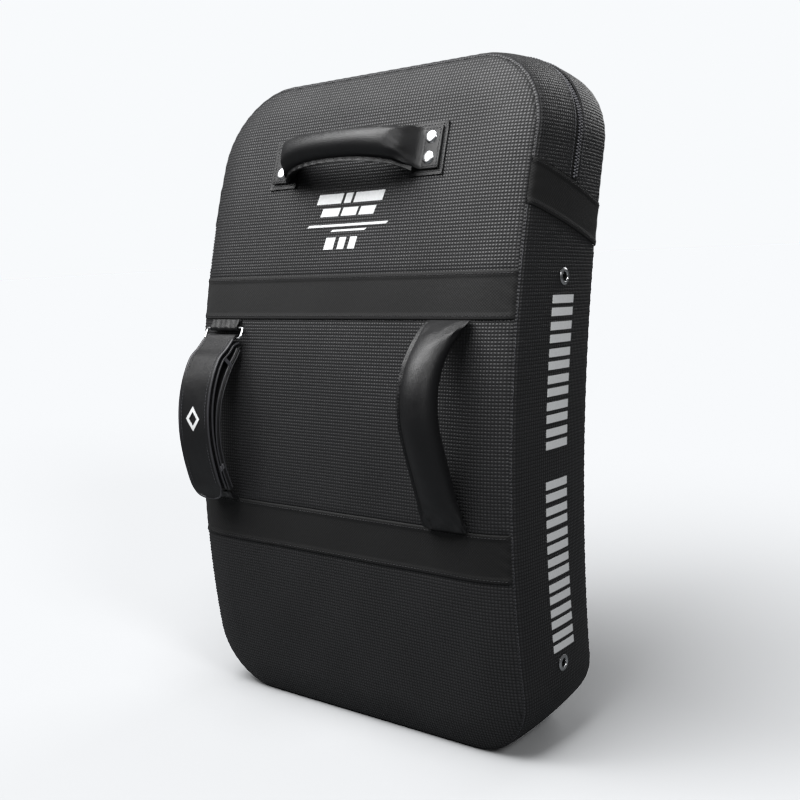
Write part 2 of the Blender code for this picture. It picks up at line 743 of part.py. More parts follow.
def ribbon(name, path, thickness, halves, finish):
    """A strap of rectangular section along a path of (s, off) points."""
    near, far = offset_path(path, -thickness / 2), offset_path(path, thickness / 2)
    if not isinstance(halves, (list, tuple)):
        halves = [halves] * len(path)
    sections = []
    for a, b, half in zip(near, far, halves):
        left, right = STRAP_X - half, STRAP_X + half
        sections.append([on_face(left, *a), on_face(right, *a), on_face(right, *b), on_face(left, *b)])
    return loft(name, sections, finish)


FLAP_THICK = 0.002
HOOK_RADIUS = 0.0035
FLAP_ARCH = (
    (0.4420, 0.0165), (0.4340, 0.0258), (0.4220, 0.0345), (0.4050, 0.0422), (0.3850, 0.0474),
    (0.3620, 0.0498), (0.3350, 0.0486), (0.3080, 0.0436), (0.2850, 0.0372), (0.2750, 0.0338),
    (0.2670, 0.0308), (0.2600, 0.0283), (0.2560, 0.0269),
)
FLAP_HALVES = (1.0, 1.0, 1.0, 1.0, 1.0, 1.0, 1.0, 1.0, 1.0, 0.97, 0.87, 0.66, 0.38)
PAD_PATH = (
    (0.4335, 0.0050), (0.4240, 0.0100), (0.4130, 0.0172), (0.3970, 0.0250), (0.3750, 0.0328),
    (0.3500, 0.0358), (0.3220, 0.0344), (0.2960, 0.0282), (0.2760, 0.0212), (0.2660, 0.0174),
)
ANCHOR_PATH = ((0.2535, 0.0021), (0.2548, 0.0075), (0.2580, 0.0125), (0.2640, 0.0162))


def make_arm_strap():
    """Ring in its keeper, sewn pad and carrier, and the flap that closes over them."""
    wrap = arc(RING_LOWER, HOOK_RADIUS, -110, 70, 7)
    flap_path = wrap + list(FLAP_ARCH)
    halves = [STRAP_HALF] * len(wrap) + [STRAP_HALF * share for share in FLAP_HALVES]
    flap = ribbon("arm_strap_flap", flap_path, FLAP_THICK, halves, "smooth_leather")

    patch_thick, carrier_thick = 0.0015, 0.0022
    under = FLAP_THICK / 2 + GAP + patch_thick / 2
    arch = FLAP_ARCH[1:-2]
    hook = ribbon("arm_strap_hook_patch", offset_path(arch, under)[3:9], patch_thick, 0.020,
                  "hook_and_loop")
    under += patch_thick + GAP
    ribbon("arm_strap_loop_patch", offset_path(arch, under)[1:9], patch_thick, 0.020,
           "hook_and_loop")
    under += patch_thick / 2 + GAP + carrier_thick / 2
    ribbon("arm_strap_carrier", offset_path(arch, under), carrier_thick, STRAP_HALF,
           "smooth_leather")
    ribbon("arm_strap_pad", PAD_PATH, 0.007, STRAP_HALF + 0.002, "smooth_leather")
    ribbon("arm_strap_anchor_tab", ANCHOR_PATH, 0.003, 0.022, "smooth_leather")

    s, off = RING_UPPER
    keeper = [(0.4655, 0.0042), (0.4612, 0.0064)] + arc(RING_UPPER, 0.0029, 62, 270, 9)
    keeper += [(0.4600, 0.0017), (0.4655, 0.0014)]
    ribbon("arm_strap_keeper_tab", keeper, 0.0012, 0.020, "smooth_leather")
    make_ring()
    hang_on("strap_flap_peel", on_face(STRAP_X, *RING_LOWER), [flap, hook])


def make_ring():
    """Rectangular wire ring: its upper bar in the keeper, its lower bar inside the flap."""
    upper, lower = on_face(STRAP_X, *RING_UPPER), on_face(STRAP_X, *RING_LOWER)
    centre, up = (upper + lower) / 2, (upper - lower).normalized()
    across = Vector((1, 0, 0))
    out = up.cross(across)
    rise, radius = (upper - lower).length / 2, 0.003
    mesh_data = bmesh.new()
    rings = []
    for quarter in range(4):
        for k in range(5):
            angle = math.radians(90 * quarter + 22.5 * k)
            sign_x = 1 if quarter in (0, 3) else -1
            sign_y = 1 if quarter in (0, 1) else -1
            outward = across * math.cos(angle) + up * math.sin(angle)
            corner = across * (sign_x * (RING_HALF - radius)) + up * (sign_y * (rise - radius))
            middle = centre + corner + outward * radius
            ring = []
            for j in range(8):
                turn = 2 * math.pi * j / 8
                point = middle + outward * (RING_BAR * math.cos(turn)) + out * (RING_BAR * math.sin(turn))
                ring.append(mesh_data.verts.new(point))
            rings.append(ring)
    for first, second in zip(rings, rings[1:] + rings[:1]):
        bridge(mesh_data, first, second)
    finish_mesh("arm_strap_ring", mesh_data, "nickel")


# ---------------------------------------------------------------- the whole shield

def centre_over_origin():
    """Parent everything to one empty, half way between the frontmost and rearmost points."""
    bpy.context.view_layer.update()
    depths = [(piece.matrix_world @ vertex.co).y
              for piece in bpy.data.objects if piece.type == "MESH" for vertex in piece.data.vertices]
    tops = [piece for piece in bpy.data.objects if piece.parent is None]
    root = bpy.data.objects.new("shield", None)
    bpy.context.scene.collection.objects.link(root)
    for piece in tops:
        piece.parent = root
    root.location.y = -(min(depths) + max(depths)) / 2
    bpy.context.view_layer.update()


def main():
    clear_scene()
    make_materials()
    foam = make_foam()
    upper_panel = make_holder_side()
    make_strike_side()
    gusset = make_gusset()
    make_zip()
    make_slider()
    make_eyelets(gusset)
    make_carry_handle(upper_panel, foam)
    make_grip_handle()
    make_arm_strap()
    centre_over_origin()
    pieces = [piece for piece in bpy.data.objects if piece.type == "MESH"]
    print(len(pieces), "pieces,", sum(len(piece.data.polygons) for piece in pieces), "faces")


main()
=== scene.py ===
# %% [markdown]
# # A curved kick shield
#
# A kick shield is a thick block of foam in a zipped cover. A coach holds it by the handles on one
# side while a partner kicks the other. The working model gives every piece its size, place and
# joint. This lesson builds what the eye sees around it: leather, webbing, thread and metal.

# %% The frame
import json
import math

import bpy
import numpy as np
from mathutils import Matrix, Vector


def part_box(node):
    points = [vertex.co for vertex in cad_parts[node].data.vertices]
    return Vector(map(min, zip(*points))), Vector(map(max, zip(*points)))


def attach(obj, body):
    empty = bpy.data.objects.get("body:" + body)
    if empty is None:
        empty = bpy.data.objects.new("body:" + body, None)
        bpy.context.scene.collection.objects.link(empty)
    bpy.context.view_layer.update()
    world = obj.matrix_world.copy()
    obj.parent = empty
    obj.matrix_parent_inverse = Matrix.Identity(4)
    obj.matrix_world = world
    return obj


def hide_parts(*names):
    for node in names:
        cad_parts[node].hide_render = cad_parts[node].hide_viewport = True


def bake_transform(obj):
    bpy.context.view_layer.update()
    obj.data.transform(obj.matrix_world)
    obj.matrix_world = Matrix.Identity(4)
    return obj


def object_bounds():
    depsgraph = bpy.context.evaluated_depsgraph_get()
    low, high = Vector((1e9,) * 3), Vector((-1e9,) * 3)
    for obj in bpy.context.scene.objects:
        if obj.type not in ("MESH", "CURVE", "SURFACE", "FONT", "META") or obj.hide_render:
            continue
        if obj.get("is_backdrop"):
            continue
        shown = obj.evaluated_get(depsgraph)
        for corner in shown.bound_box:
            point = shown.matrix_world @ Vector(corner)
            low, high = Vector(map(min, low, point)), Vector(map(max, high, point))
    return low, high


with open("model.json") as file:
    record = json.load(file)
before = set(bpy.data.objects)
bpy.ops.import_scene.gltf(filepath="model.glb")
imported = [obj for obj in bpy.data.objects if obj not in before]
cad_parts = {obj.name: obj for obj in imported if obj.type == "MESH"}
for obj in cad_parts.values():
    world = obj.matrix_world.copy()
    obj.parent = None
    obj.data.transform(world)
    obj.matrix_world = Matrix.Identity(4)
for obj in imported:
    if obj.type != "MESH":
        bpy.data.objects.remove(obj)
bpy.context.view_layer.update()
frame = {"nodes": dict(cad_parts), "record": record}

# %% [markdown]
# ## Camera and light
#
# The shield stands on a pale floor in soft light. It is black, so what shows its form is not its
# colour but what it reflects. A broad softbox overhead puts a grey sheen on every part that leans
# back, and leaves upright parts dark. Small black objects are usually lit this way.

# %% Camera
CAMERA_AT = Vector((0.81837, -0.97729, 0.54105))
CAMERA_FORWARD = Vector((-0.62451, 0.76897, -0.13667))
CAMERA_UP = Vector((-0.04866, 0.13634, 0.98947))

camera_data = bpy.data.cameras.new("camera")
camera_data.lens = 49.4
camera_data.sensor_width = 36
camera = bpy.data.objects.new("camera", camera_data)
bpy.context.scene.collection.objects.link(camera)
camera_right = CAMERA_FORWARD.cross(CAMERA_UP)
camera.matrix_world = Matrix.Translation(CAMERA_AT) @ Matrix(
    (camera_right, CAMERA_UP, -CAMERA_FORWARD)).transposed().to_4x4()
bpy.context.scene.camera = camera


# %% Lights
def softbox(name, at, aim, size, watts):
    """A square area light at a point, facing another."""
    data = bpy.data.lights.new(name, "AREA")
    data.shape, data.size, data.energy = "SQUARE", size, watts
    lamp = bpy.data.objects.new(name, data)
    bpy.context.scene.collection.objects.link(lamp)
    lamp.location = at
    lamp.rotation_euler = (Vector(aim) - Vector(at)).to_track_quat("-Z", "Y").to_euler()


UPPER_FACE, RIGHT_SIDE = (0, 0.06, 0.64), (0.23, 0.05, 0.40)
softbox("overhead", (-0.15, -0.62, 1.9), UPPER_FACE, 1.5, 60)
softbox("overhead_left", (-0.99, -0.84, 1.53), UPPER_FACE, 0.9, 8)
softbox("side_key", (2.0, -0.9, 1.7), RIGHT_SIDE, 0.6, 19)
softbox("rear_fill", (0.2, 2.2, 1.6), UPPER_FACE, 1.2, 14)
bpy.context.scene.view_settings.view_transform = "Standard"

# %% [markdown]
# ## Finishes
#
# Each finish starts from the real stuff and how it was made. Colours are given as hex codes and
# turned to linear light by one function. Patterns follow the cloth through its UV map, which holds
# metres, so a pattern's pitch is a real size. Metal, thread and foam read Object coordinates.


# %% Material helpers
def linear(code):
    """A hex colour as linear RGBA."""
    shares = [int(code[i:i + 2], 16) / 255 for i in (0, 2, 4)]
    return (*[c / 12.92 if c <= 0.04045 else ((c + 0.055) / 1.055) ** 2.4 for c in shares], 1.0)


def node(tree, kind, inputs=None, **settings):
    """Add a node. inputs maps a socket to a value, or to the output that feeds it."""
    made = tree.nodes.new(kind)
    for key, value in settings.items():
        setattr(made, key, value)
    for key, value in (inputs or {}).items():
        if isinstance(value, bpy.types.NodeSocket):
            tree.links.new(value, made.inputs[key])
        else:
            made.inputs[key].default_value = value
    return made


def start_material(name, **sockets):
    """A material whose Principled shader has these constant values."""
    material = bpy.data.materials.new(name)
    material.use_nodes = True
    tree = material.node_tree
    shader = tree.nodes["Principled BSDF"]
    for key, value in sockets.items():
        shader.inputs[key.replace("_", " ")].default_value = value
    return material, tree, shader


def finish_shader(tree, shader, height, depth, colours, roughness, mask=None, span=(0.0, 1.0)):
    """Link bump from height to the shader, and colour and roughness as mask goes over its span."""
    mask = mask or height
    bump = node(tree, "ShaderNodeBump", {"Distance": depth, "Height": height})
    share = node(tree, "ShaderNodeMapRange",
                 {"Value": mask, "From Min": span[0], "From Max": span[1]}).outputs["Result"]
    ramp = node(tree, "ShaderNodeValToRGB", {"Fac": share})
    ramp.color_ramp.elements[0].color = linear(colours[0])
    ramp.color_ramp.elements[1].color = linear(colours[1])
    rough = node(tree, "ShaderNodeMapRange", {"Value": share, "To Min": roughness[0], "To Max": roughness[1]})
    tree.links.new(bump.outputs["Normal"], shader.inputs["Normal"])
    tree.links.new(ramp.outputs["Color"], shader.inputs["Base Color"])
    tree.links.new(rough.outputs["Result"], shader.inputs["Roughness"])


def ribs(tree, pitch):
    """Rounded ribs across and along the cloth, as two outputs from 0 in a groove to 1 on a rib."""
    uv = node(tree, "ShaderNodeTexCoord").outputs["UV"]
    split = node(tree, "ShaderNodeSeparateXYZ", {"Vector": uv})
    waves = []
    for axis in ("X", "Y"):
        turn = node(tree, "ShaderNodeMath", {0: split.outputs[axis], 1: math.pi / pitch},
                    operation="MULTIPLY")
        waves.append(node(tree, "ShaderNodeMath", {0: turn.outputs[0]}, operation="SINE"))
    return uv, waves


# %% [markdown]
# ### Embossed synthetic leather
#
# The cover is PVC-coated cloth, often sold as synthetic leather. A hot roller presses a grid of
# small square pillows into it, 3.6 mm apart. The pillow tops are rubbed smoother than the grooves,
# so they catch the light as rows of dots. Their colour is also painted lighter on the tops and darker
# in the grooves, a painted highlight and painted shade, over a real patchy tone.

# %% Embossed synthetic leather
EMBOSS_PITCH = 0.0036
EMBOSS_DEPTH = 0.00056


def embossed_leather():
    material, tree, shader = start_material("embossed_synthetic_leather", IOR=1.5)
    uv, waves = ribs(tree, EMBOSS_PITCH)
    tops = [node(tree, "ShaderNodeMath", {0: wave.outputs[0]}, operation="ABSOLUTE") for wave in waves]
    pillow = node(tree, "ShaderNodeMath", {0: tops[0].outputs[0], 1: tops[1].outputs[0]},
                  operation="MULTIPLY")
    grain = node(tree, "ShaderNodeTexNoise", {"Vector": uv, "Scale": 1400, "Detail": 3})
    patches = node(tree, "ShaderNodeTexNoise", {"Vector": uv, "Scale": 14, "Detail": 4})
    height = node(tree, "ShaderNodeMath", {0: grain.outputs["Fac"], 1: 0.22, 2: pillow.outputs[0]},
                  operation="MULTIPLY_ADD")
    # The pillow tops are painted lighter and the grooves darker, a painted highlight and painted shade; the
    # patches noise adds a real uneven tone.
    mask = node(tree, "ShaderNodeMath", {0: patches.outputs["Fac"], 1: 0.4, 2: pillow.outputs[0]},
                operation="MULTIPLY_ADD")
    finish_shader(tree, shader, height.outputs[0], EMBOSS_DEPTH, ("050506", "262628"), (0.80, 0.38),
                  mask.outputs[0], (0.35, 0.95))
    return material


# %% [markdown]
# ### Woven webbing, zip tape and hook and loop
#
# The bands are flat polyester webbing in a plain weave. Its threads are 0.5 mm apart, too fine to
# show at this size, so the weave is drawn at 1.6 mm. Multiplying a wave across by a wave along
# gives the over and under of a plain weave.

# %% Woven webbing
WEAVE_PITCH = 0.0016


def woven(name, pitch, depth, colours, roughness):
    material, tree, shader = start_material(name, IOR=1.46, Sheen_Weight=0.03, Sheen_Roughness=0.5)
    uv, waves = ribs(tree, pitch)
    weave = node(tree, "ShaderNodeMath", {0: waves[0].outputs[0], 1: waves[1].outputs[0]},
                 operation="MULTIPLY")
    fuzz = node(tree, "ShaderNodeTexNoise", {"Vector": uv, "Scale": 260, "Detail": 5})
    height = node(tree, "ShaderNodeMath", {0: weave.outputs[0], 1: 0.4, 2: fuzz.outputs["Fac"]},
                  operation="MULTIPLY_ADD")
    finish_shader(tree, shader, height.outputs[0], depth, colours, roughness)
    return material


# %% [markdown]
# ### Smooth leather
#
# The handles and the arm strap are smooth synthetic leather with a satin top coat. Its grain is a
# net of fine creases, which a Voronoi pattern gives, and it is glossier where hands polish it.

# %% Smooth leather
GRAIN_PER_METRE = 850


def smooth_leather():
    material, tree, shader = start_material("smooth_synthetic_leather", IOR=1.5)
    uv = node(tree, "ShaderNodeTexCoord").outputs["UV"]
    cells = node(tree, "ShaderNodeTexVoronoi", {"Vector": uv, "Scale": GRAIN_PER_METRE},
                 feature="DISTANCE_TO_EDGE")
    creases = node(tree, "ShaderNodeTexNoise", {"Vector": uv, "Scale": 70, "Detail": 6})
    height = node(tree, "ShaderNodeMath", {0: cells.outputs["Distance"], 1: 0.5, 2: creases.outputs["Fac"]},
                  operation="MULTIPLY_ADD")
    finish_shader(tree, shader, height.outputs[0], 0.0005, ("070708", "131315"), (0.54, 0.36),
                  creases.outputs["Fac"])
    return material


# %% [markdown]
# ### Metal, plastic, thread, foam and print
#
# These pieces are small or hidden, so one noise pattern each is enough. Nickel plate is nearly a
# mirror with faint scratches. The zip coil is moulded nylon and the slider is lacquered zinc. The
# coil is drawn mid grey rather than dark, a painted highlight for its glints.
# Thread is twisted polyester, foam is full of cells, and the print is a matt white ink.


# %% Small finishes
def speckled(name, scale, depth, colours, roughness, **sockets):
    """A finish that one noise pattern on Object coordinates varies."""
    material, tree, shader = start_material(name, **sockets)
    place_on = node(tree, "ShaderNodeTexCoord").outputs["Object"]
    noise = node(tree, "ShaderNodeTexNoise", {"Vector": place_on, "Scale": scale, "Detail": 5})
    finish_shader(tree, shader, noise.outputs["Fac"], depth, colours, roughness)
    return material


FINISHES = {
    "embossed_leather": embossed_leather(),
    "woven_band": woven("polyester_webbing", WEAVE_PITCH, 0.0002, ("020202", "0B0B0C"), (0.86, 0.72)),
    "zip_fabric": woven("woven_zip_tape", 0.0012, 0.0002, ("050506", "101011"), (0.9, 0.75)),
    "hook_and_loop": woven("hook_and_loop_tape", 0.0014, 0.0005, ("070708", "19191A"), (0.98, 0.9)),
    "smooth_leather": smooth_leather(),
    "nickel": speckled("nickel_plate", 900, 0.00002, ("B9BABC", "E4E5E7"), (0.14, 0.30), Metallic=1.0),
    # The coil's mid grey is a painted highlight for the glints on its turns.
    "zip_nylon": speckled("nylon_coil_painted_glint", 1200, 0.00002, ("3E3E42", "7A7A80"), (0.24, 0.36), IOR=1.53),
    "black_metal": speckled("lacquered_zinc", 700, 0.00002, ("0F0F10", "26262A"), (0.22, 0.36), IOR=1.55,
                            Coat_Weight=0.6, Coat_Roughness=0.12),
    "firm_foam": speckled("closed_cell_foam", 900, 0.0006, ("2A2A2C", "454548"), (0.95, 0.85)),
    "soft_foam": speckled("open_cell_foam", 600, 0.0010, ("6E747A", "A0A6AB"), (0.98, 0.9)),
    "core_foam": speckled("polyurethane_foam", 600, 0.0010, ("B9AE8E", "E0D8C2"), (0.98, 0.9)),
    "thread": speckled("black_polyester_thread", 2500, 0.0001, ("141415", "303033"), (0.62, 0.45)),
    # Edge paint on the rolled strap edges, drawn lighter grey than the leather as a painted highlight.
    "edge_paint_and_highlight": speckled("edge_paint_with_painted_highlight", 900, 0.00003, ("2A2A2C", "48484C"), (0.42, 0.30)),
    # Thread drawn lighter grey than the black stitching, a painted highlight for its glints.
    "seam_thread": speckled("polyester_thread_painted_glint", 2500, 0.0001, ("2A2A2D", "5A5A60"), (0.55, 0.40)),
    "print": speckled("white_screen_print", 500, 0.00003, ("DADCDD", "F6F7F8"), (0.62, 0.5)),
}
for cad_name, cad_piece in frame["nodes"].items():
    slot_of = next(s["material_slot"] for s in frame["record"]["subparts"] if s["node"] == cad_name)
    cad_piece.data.materials.clear()
    cad_piece.data.materials.append(FINISHES[slot_of])
print(len(FINISHES), "finishes")

# %% [markdown]
# ## The shape of the shield
#
# A pattern cutter thinks of the cover as flat pieces. This lesson does too: a point is given by x
# across, s up along the holder's side, and w, the depth behind it. One function bends that flat
# space into the banana curve of the shield. The sizes are the working model's, and its bounding
# boxes give the places.

# %% Shield space
SEAM_HEIGHT = 0.739
CORNER_TOP, CORNER_BOTTOM = 0.088, 0.075
GUSSET_WIDTH, GUSSET_NARROWING, GUSSET_BULGE = 0.149, 0.10, 0.006
BEND, BEND_HEIGHT, END_TILT = 0.4216, 0.241, 0.21
HOLDER_CROWN, STRIKE_CROWN, CROWN_RUN = 0.010, 0.006, 0.045
CORNER_LIFT, FLAT_HALF, LIFT_RUN = 0.022, 0.10, 0.16
LEATHER = 0.0016
EDGE_INSET = 0.0005
BAND_RISE = 0.001
UPPER_BAND, LOWER_BAND = (0.466, 0.515), (0.201, 0.2522)
SIDE_BAND = (0.579, 0.626)
SIDE_BAND_DROP = 0.040

strike_low, strike_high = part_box("strike_face_cover")
SEAM_WIDTH = strike_high.x - strike_low.x + 2 * EDGE_INSET
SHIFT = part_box("lower_face_band")[0].y + HOLDER_CROWN + BAND_RISE


def corner_lift(x, s, w):
    """The rear bottom corners are rounder than the front ones, so they rise clear of the floor."""
    outer = np.clip((np.abs(x) - FLAT_HALF) / (SEAM_WIDTH / 2 - FLAT_HALF), 0, 1)
    return CORNER_LIFT * outer ** 1.5 * np.clip(1 - s / LIFT_RUN, 0, 1) ** 2 * np.clip(w / GUSSET_WIDTH, 0, 1)


def place(x, s, w):
    """Shield space to the frame. All three may be arrays."""
    slope = 2 * BEND * np.maximum(s - BEND_HEIGHT, 0)
    y = BEND * (s - BEND_HEIGHT) ** 2 + w + SHIFT
    z = s - END_TILT * slope * w + corner_lift(x, s, w)
    return np.stack(np.broadcast_arrays(x, y, z), axis=-1).astype(float)


def gusset_width(s):
    return GUSSET_WIDTH * (1 - GUSSET_NARROWING * (2 * s / SEAM_HEIGHT - 1) ** 2)


def half_width(s, inset=0.0):
    """Half the cover's width at a height, less an inset all round."""
    radius = np.where(s > SEAM_HEIGHT / 2, CORNER_TOP, CORNER_BOTTOM) - inset
    end = np.where(s > SEAM_HEIGHT / 2, SEAM_HEIGHT - s, s) - inset
    reach = np.clip(radius - end, 0, radius)
    return SEAM_WIDTH / 2 - inset - radius + np.sqrt(radius ** 2 - reach ** 2)


def inside(x, s):
    """Distance from a point of a side to the seam round it."""
    radius = np.where(s > SEAM_HEIGHT / 2, CORNER_TOP, CORNER_BOTTOM)
    reach = radius - np.where(s > SEAM_HEIGHT / 2, SEAM_HEIGHT - s, s)
    side = np.abs(x) - (SEAM_WIDTH / 2 - radius)
    past = np.where((reach > 0) & (side > 0), np.hypot(side, reach), np.maximum(side, reach))
    return np.maximum(radius - past, 0)


print("seam", round(SEAM_WIDTH * 1000), "x", round(SEAM_HEIGHT * 1000), "mm")

# %% [markdown]
# Leather sewn over foam is never quite flat. It dips into the seam, puckers between stitches, and
# stands in slow waves over the foam. Three terms give this. The dip is about 2 mm deep, and the
# puckers and waves are half a millimetre or less.

# %% How the cover stands over the foam
SEAM_DIP, DIP_RUN = 0.0024, 0.0045
PUFF, PUFF_RUN = 0.0026, 0.0035
PUCKER, PUCKER_PITCH, PUCKER_RUN, PUCKER_WANDER = 0.0003, 0.014, 0.010, 0.004
WAVE, WAVE_RUN = 0.0005, 0.03


def seam_dip(distance):
    return SEAM_DIP * (1 - np.clip(distance / DIP_RUN, 0, 1)) ** 2


def puckers(along, distance):
    wander = along + PUCKER_WANDER * np.sin(along * 37)
    return PUCKER * np.sin(2 * math.pi * wander / PUCKER_PITCH) * np.exp(-distance / PUCKER_RUN)


def waves(x, s):
    return WAVE * (np.sin(31 * x + 17 * s) * np.sin(23 * s - 11 * x) + 0.5 * np.sin(61 * x - 47 * s + 1))


def padded_rise(x, s, crown):
    """How far a padded side stands out of its seam's plane."""
    distance = inside(x, s)
    dome = crown * (1 - (1 - np.clip(distance / CROWN_RUN, 0, 1)) ** 2)
    soft = np.clip(distance / WAVE_RUN, 0, 1)
    return dome - seam_dip(distance) + puckers(s + 0.6 * np.abs(x), distance) + waves(x, s) * soft


def holder_side(x, s, rise=0.0):
    return place(x, s, -padded_rise(x, s, HOLDER_CROWN) - rise)


def strike_side(x, s, rise=0.0):
    return place(x, s, gusset_width(s) + padded_rise(x, s, STRIKE_CROWN) + rise)


# %% [markdown]
# The gusset is the long strip that joins the two sides. Its own coordinates are the distance
# around the seam, from the middle of the bottom and up the right side, and the depth w. Two
# turning angles, one for each corner, give the whole rounded outline without any special cases.

# %% Gusset space
BOTTOM_RUN = SEAM_WIDTH / 2 - CORNER_BOTTOM
SIDE_START = BOTTOM_RUN + math.pi / 2 * CORNER_BOTTOM
SIDE_RUN = SEAM_HEIGHT - CORNER_TOP - CORNER_BOTTOM
SIDE_END = SIDE_START + SIDE_RUN
TOP_START = SIDE_END + math.pi / 2 * CORNER_TOP
HALF_ROUND = TOP_START + SEAM_WIDTH / 2 - CORNER_TOP


def seam_point(around):
    """x, s, outward direction and bulge share at a distance around the seam."""
    around = np.asarray(around, float)
    mirror = np.where((around < 0) | (around > HALF_ROUND), -1, 1)
    run = np.where(around > HALF_ROUND, 2 * HALF_ROUND - around, np.abs(around))
    lower = np.clip((run - BOTTOM_RUN) / CORNER_BOTTOM, 0, math.pi / 2)
    upper = np.clip((run - SIDE_END) / CORNER_TOP, 0, math.pi / 2)
    x = np.minimum(run, BOTTOM_RUN) + CORNER_BOTTOM * np.sin(lower)
    x = x - CORNER_TOP * (1 - np.cos(upper)) - np.maximum(run - TOP_START, 0)
    s = CORNER_BOTTOM * (1 - np.cos(lower)) + np.clip(run - SIDE_START, 0, SIDE_RUN)
    s = s + CORNER_TOP * np.sin(upper)
    turned = lower + upper
    return mirror * x, s, mirror * np.sin(turned), -np.cos(turned), np.sin(lower) ** 2


def gusset(w, around, rise=0.0):
    """A point on the gusset, w behind the holder's seam, standing rise off it."""
    x, s, nx, ns, share = seam_point(around)
    width = gusset_width(s)
    v = np.clip(w / width, 0, 1)
    edge = np.minimum(w, width - w)
    out = GUSSET_BULGE * share * 4 * v * (1 - v) - seam_dip(edge)
    out = out + (puckers(around, edge) + PUFF * (1 - np.exp(-edge / PUFF_RUN))) * share + rise
    return place(x + nx * out, s + ns * out, w)


def around_at(s):
    return SIDE_START + s - CORNER_BOTTOM


def side_band_edge(s, w):
    """A slanted line over the right side of the gusset that starts at s on the holder's seam."""
    return around_at(s) - SIDE_BAND_DROP * w / GUSSET_WIDTH


# %% [markdown]
# ## Cutting and sewing
#
# Four small tools make nearly every soft piece. A flat grid is cut, laid onto its surface and given
# its thickness. A row of thread is one stitch, modelled once and repeated along a line. Bending a
# grid in code is chosen over a simulation because the cover is stretched tight over firm foam.


# %% Piece tools
def deselect():
    bpy.ops.object.select_all(action="DESELECT")


def apply_modifier(piece, kind, **settings):
    modifier = piece.modifiers.new(kind.lower(), kind)
    for key, value in settings.items():
        setattr(modifier, key, value)
    deselect()
    bpy.context.view_layer.objects.active = piece
    piece.select_set(True)
    bpy.ops.object.modifier_apply(modifier=modifier.name)


def edit(piece, *steps):
    """Run edit-mode operators on all of a piece."""
    deselect()
    bpy.context.view_layer.objects.active = piece
    piece.select_set(True)
    bpy.ops.object.mode_set(mode="EDIT")
    bpy.ops.mesh.select_all(action="SELECT")
    for step in steps:
        step()
    bpy.ops.object.mode_set(mode="OBJECT")


def smooth(piece, degrees=40):
    deselect()
    bpy.context.view_layer.objects.active = piece
    piece.select_set(True)
    bpy.ops.object.shade_smooth_by_angle(angle=math.radians(degrees))
    return piece


def cut_sheet(name, size, shape, finish, wall=0.0, offset=-1.0):
    """A grid of size (across, along) faces, laid by shape(u, v), which gives points and cloth UVs."""
    deselect()
    bpy.ops.mesh.primitive_grid_add(x_subdivisions=size[0], y_subdivisions=size[1], size=2)
    sheet = bpy.context.object
    sheet.name = sheet.data.name = name
    flat = np.empty(len(sheet.data.vertices) * 3)
    sheet.data.vertices.foreach_get("co", flat)
    u, v = (flat.reshape(-1, 3)[:, :2].T + 1) / 2
    points, cloth = shape(u, v)
    sheet.data.vertices.foreach_set("co", np.ascontiguousarray(points, np.float32).ravel())
    corners = np.empty(len(sheet.data.loops), np.int32)
    sheet.data.loops.foreach_get("vertex_index", corners)
    cloth_at_corners = np.stack(cloth, axis=-1)[corners].astype(np.float32)
    sheet.data.uv_layers[0].data.foreach_set("uv", cloth_at_corners.ravel())
    sheet.data.materials.append(FINISHES[finish])
    sheet.data.update()
    if wall:
        apply_modifier(sheet, "SOLIDIFY", thickness=wall, offset=offset, use_even_offset=False)
    return smooth(sheet)


def join(pieces, name):
    """Sew several pieces into one object."""
    deselect()
    for piece in pieces:
        piece.select_set(True)
    bpy.context.view_layer.objects.active = pieces[0]
    bpy.ops.object.join()
    pieces[0].name = pieces[0].data.name = name
    return pieces[0]


def hand_over(piece, body, slot, *nodes):
    """Put a finished piece on its body and hide the CAD nodes that it stands for. slot is not used."""
    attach(piece, body)
    if nodes:
        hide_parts(*nodes)
    return piece


# %% Thread and other things in rows
def bead(length, width, height):
    """One low-poly bead, as (along, side, out) points and faces: a stitch or a zip tooth."""
    deselect()
    bpy.ops.mesh.primitive_uv_sphere_add(segments=6, ring_count=5, radius=0.5)
    ball = bpy.context.object
    points = np.array([v.co[:] for v in ball.data.vertices])[:, [2, 0, 1]]
    faces = [tuple(p.vertices) for p in ball.data.polygons]
    bpy.data.objects.remove(ball)
    return points * (length, width, height), faces


def unit(vectors):
    return vectors / np.linalg.norm(vectors, axis=-1, keepdims=True)


def row_along(name, shape, points, outward, pitch, finish):
    """Copies of a bead, one every pitch along a line of points with outward directions."""
    template, faces = shape
    steps = np.linalg.norm(np.diff(points, axis=0), axis=1)
    along = np.concatenate([[0], np.cumsum(steps)])
    marks = np.arange(pitch / 2, along[-1], pitch)
    centres = np.stack([np.interp(marks, along, points[:, k]) for k in range(3)], axis=-1)
    ahead = np.stack([np.interp(marks + pitch / 8, along, points[:, k]) for k in range(3)], axis=-1)
    behind = np.stack([np.interp(marks - pitch / 8, along, points[:, k]) for k in range(3)], axis=-1)
    out = unit(np.stack([np.interp(marks, along, outward[:, k]) for k in range(3)], axis=-1))
    forward = unit(ahead - behind)
    side = unit(np.cross(out, forward))
    axes = np.stack([forward, side, np.cross(forward, side)], axis=1)
    copies = centres[:, None, :] + np.einsum("vk,nkc->nvc", template, axes)
    mesh = bpy.data.meshes.new(name)
    count = len(template)
    mesh.from_pydata(copies.reshape(-1, 3).tolist(), [],
                     [tuple(i + n * count for i in face) for n in range(len(marks)) for face in faces])
    made = bpy.data.objects.new(name, mesh)
    bpy.context.scene.collection.objects.link(made)
    mesh.materials.append(FINISHES[finish])
    edit(made, lambda: bpy.ops.mesh.normals_make_consistent(inside=False))
    return smooth(made, 80)


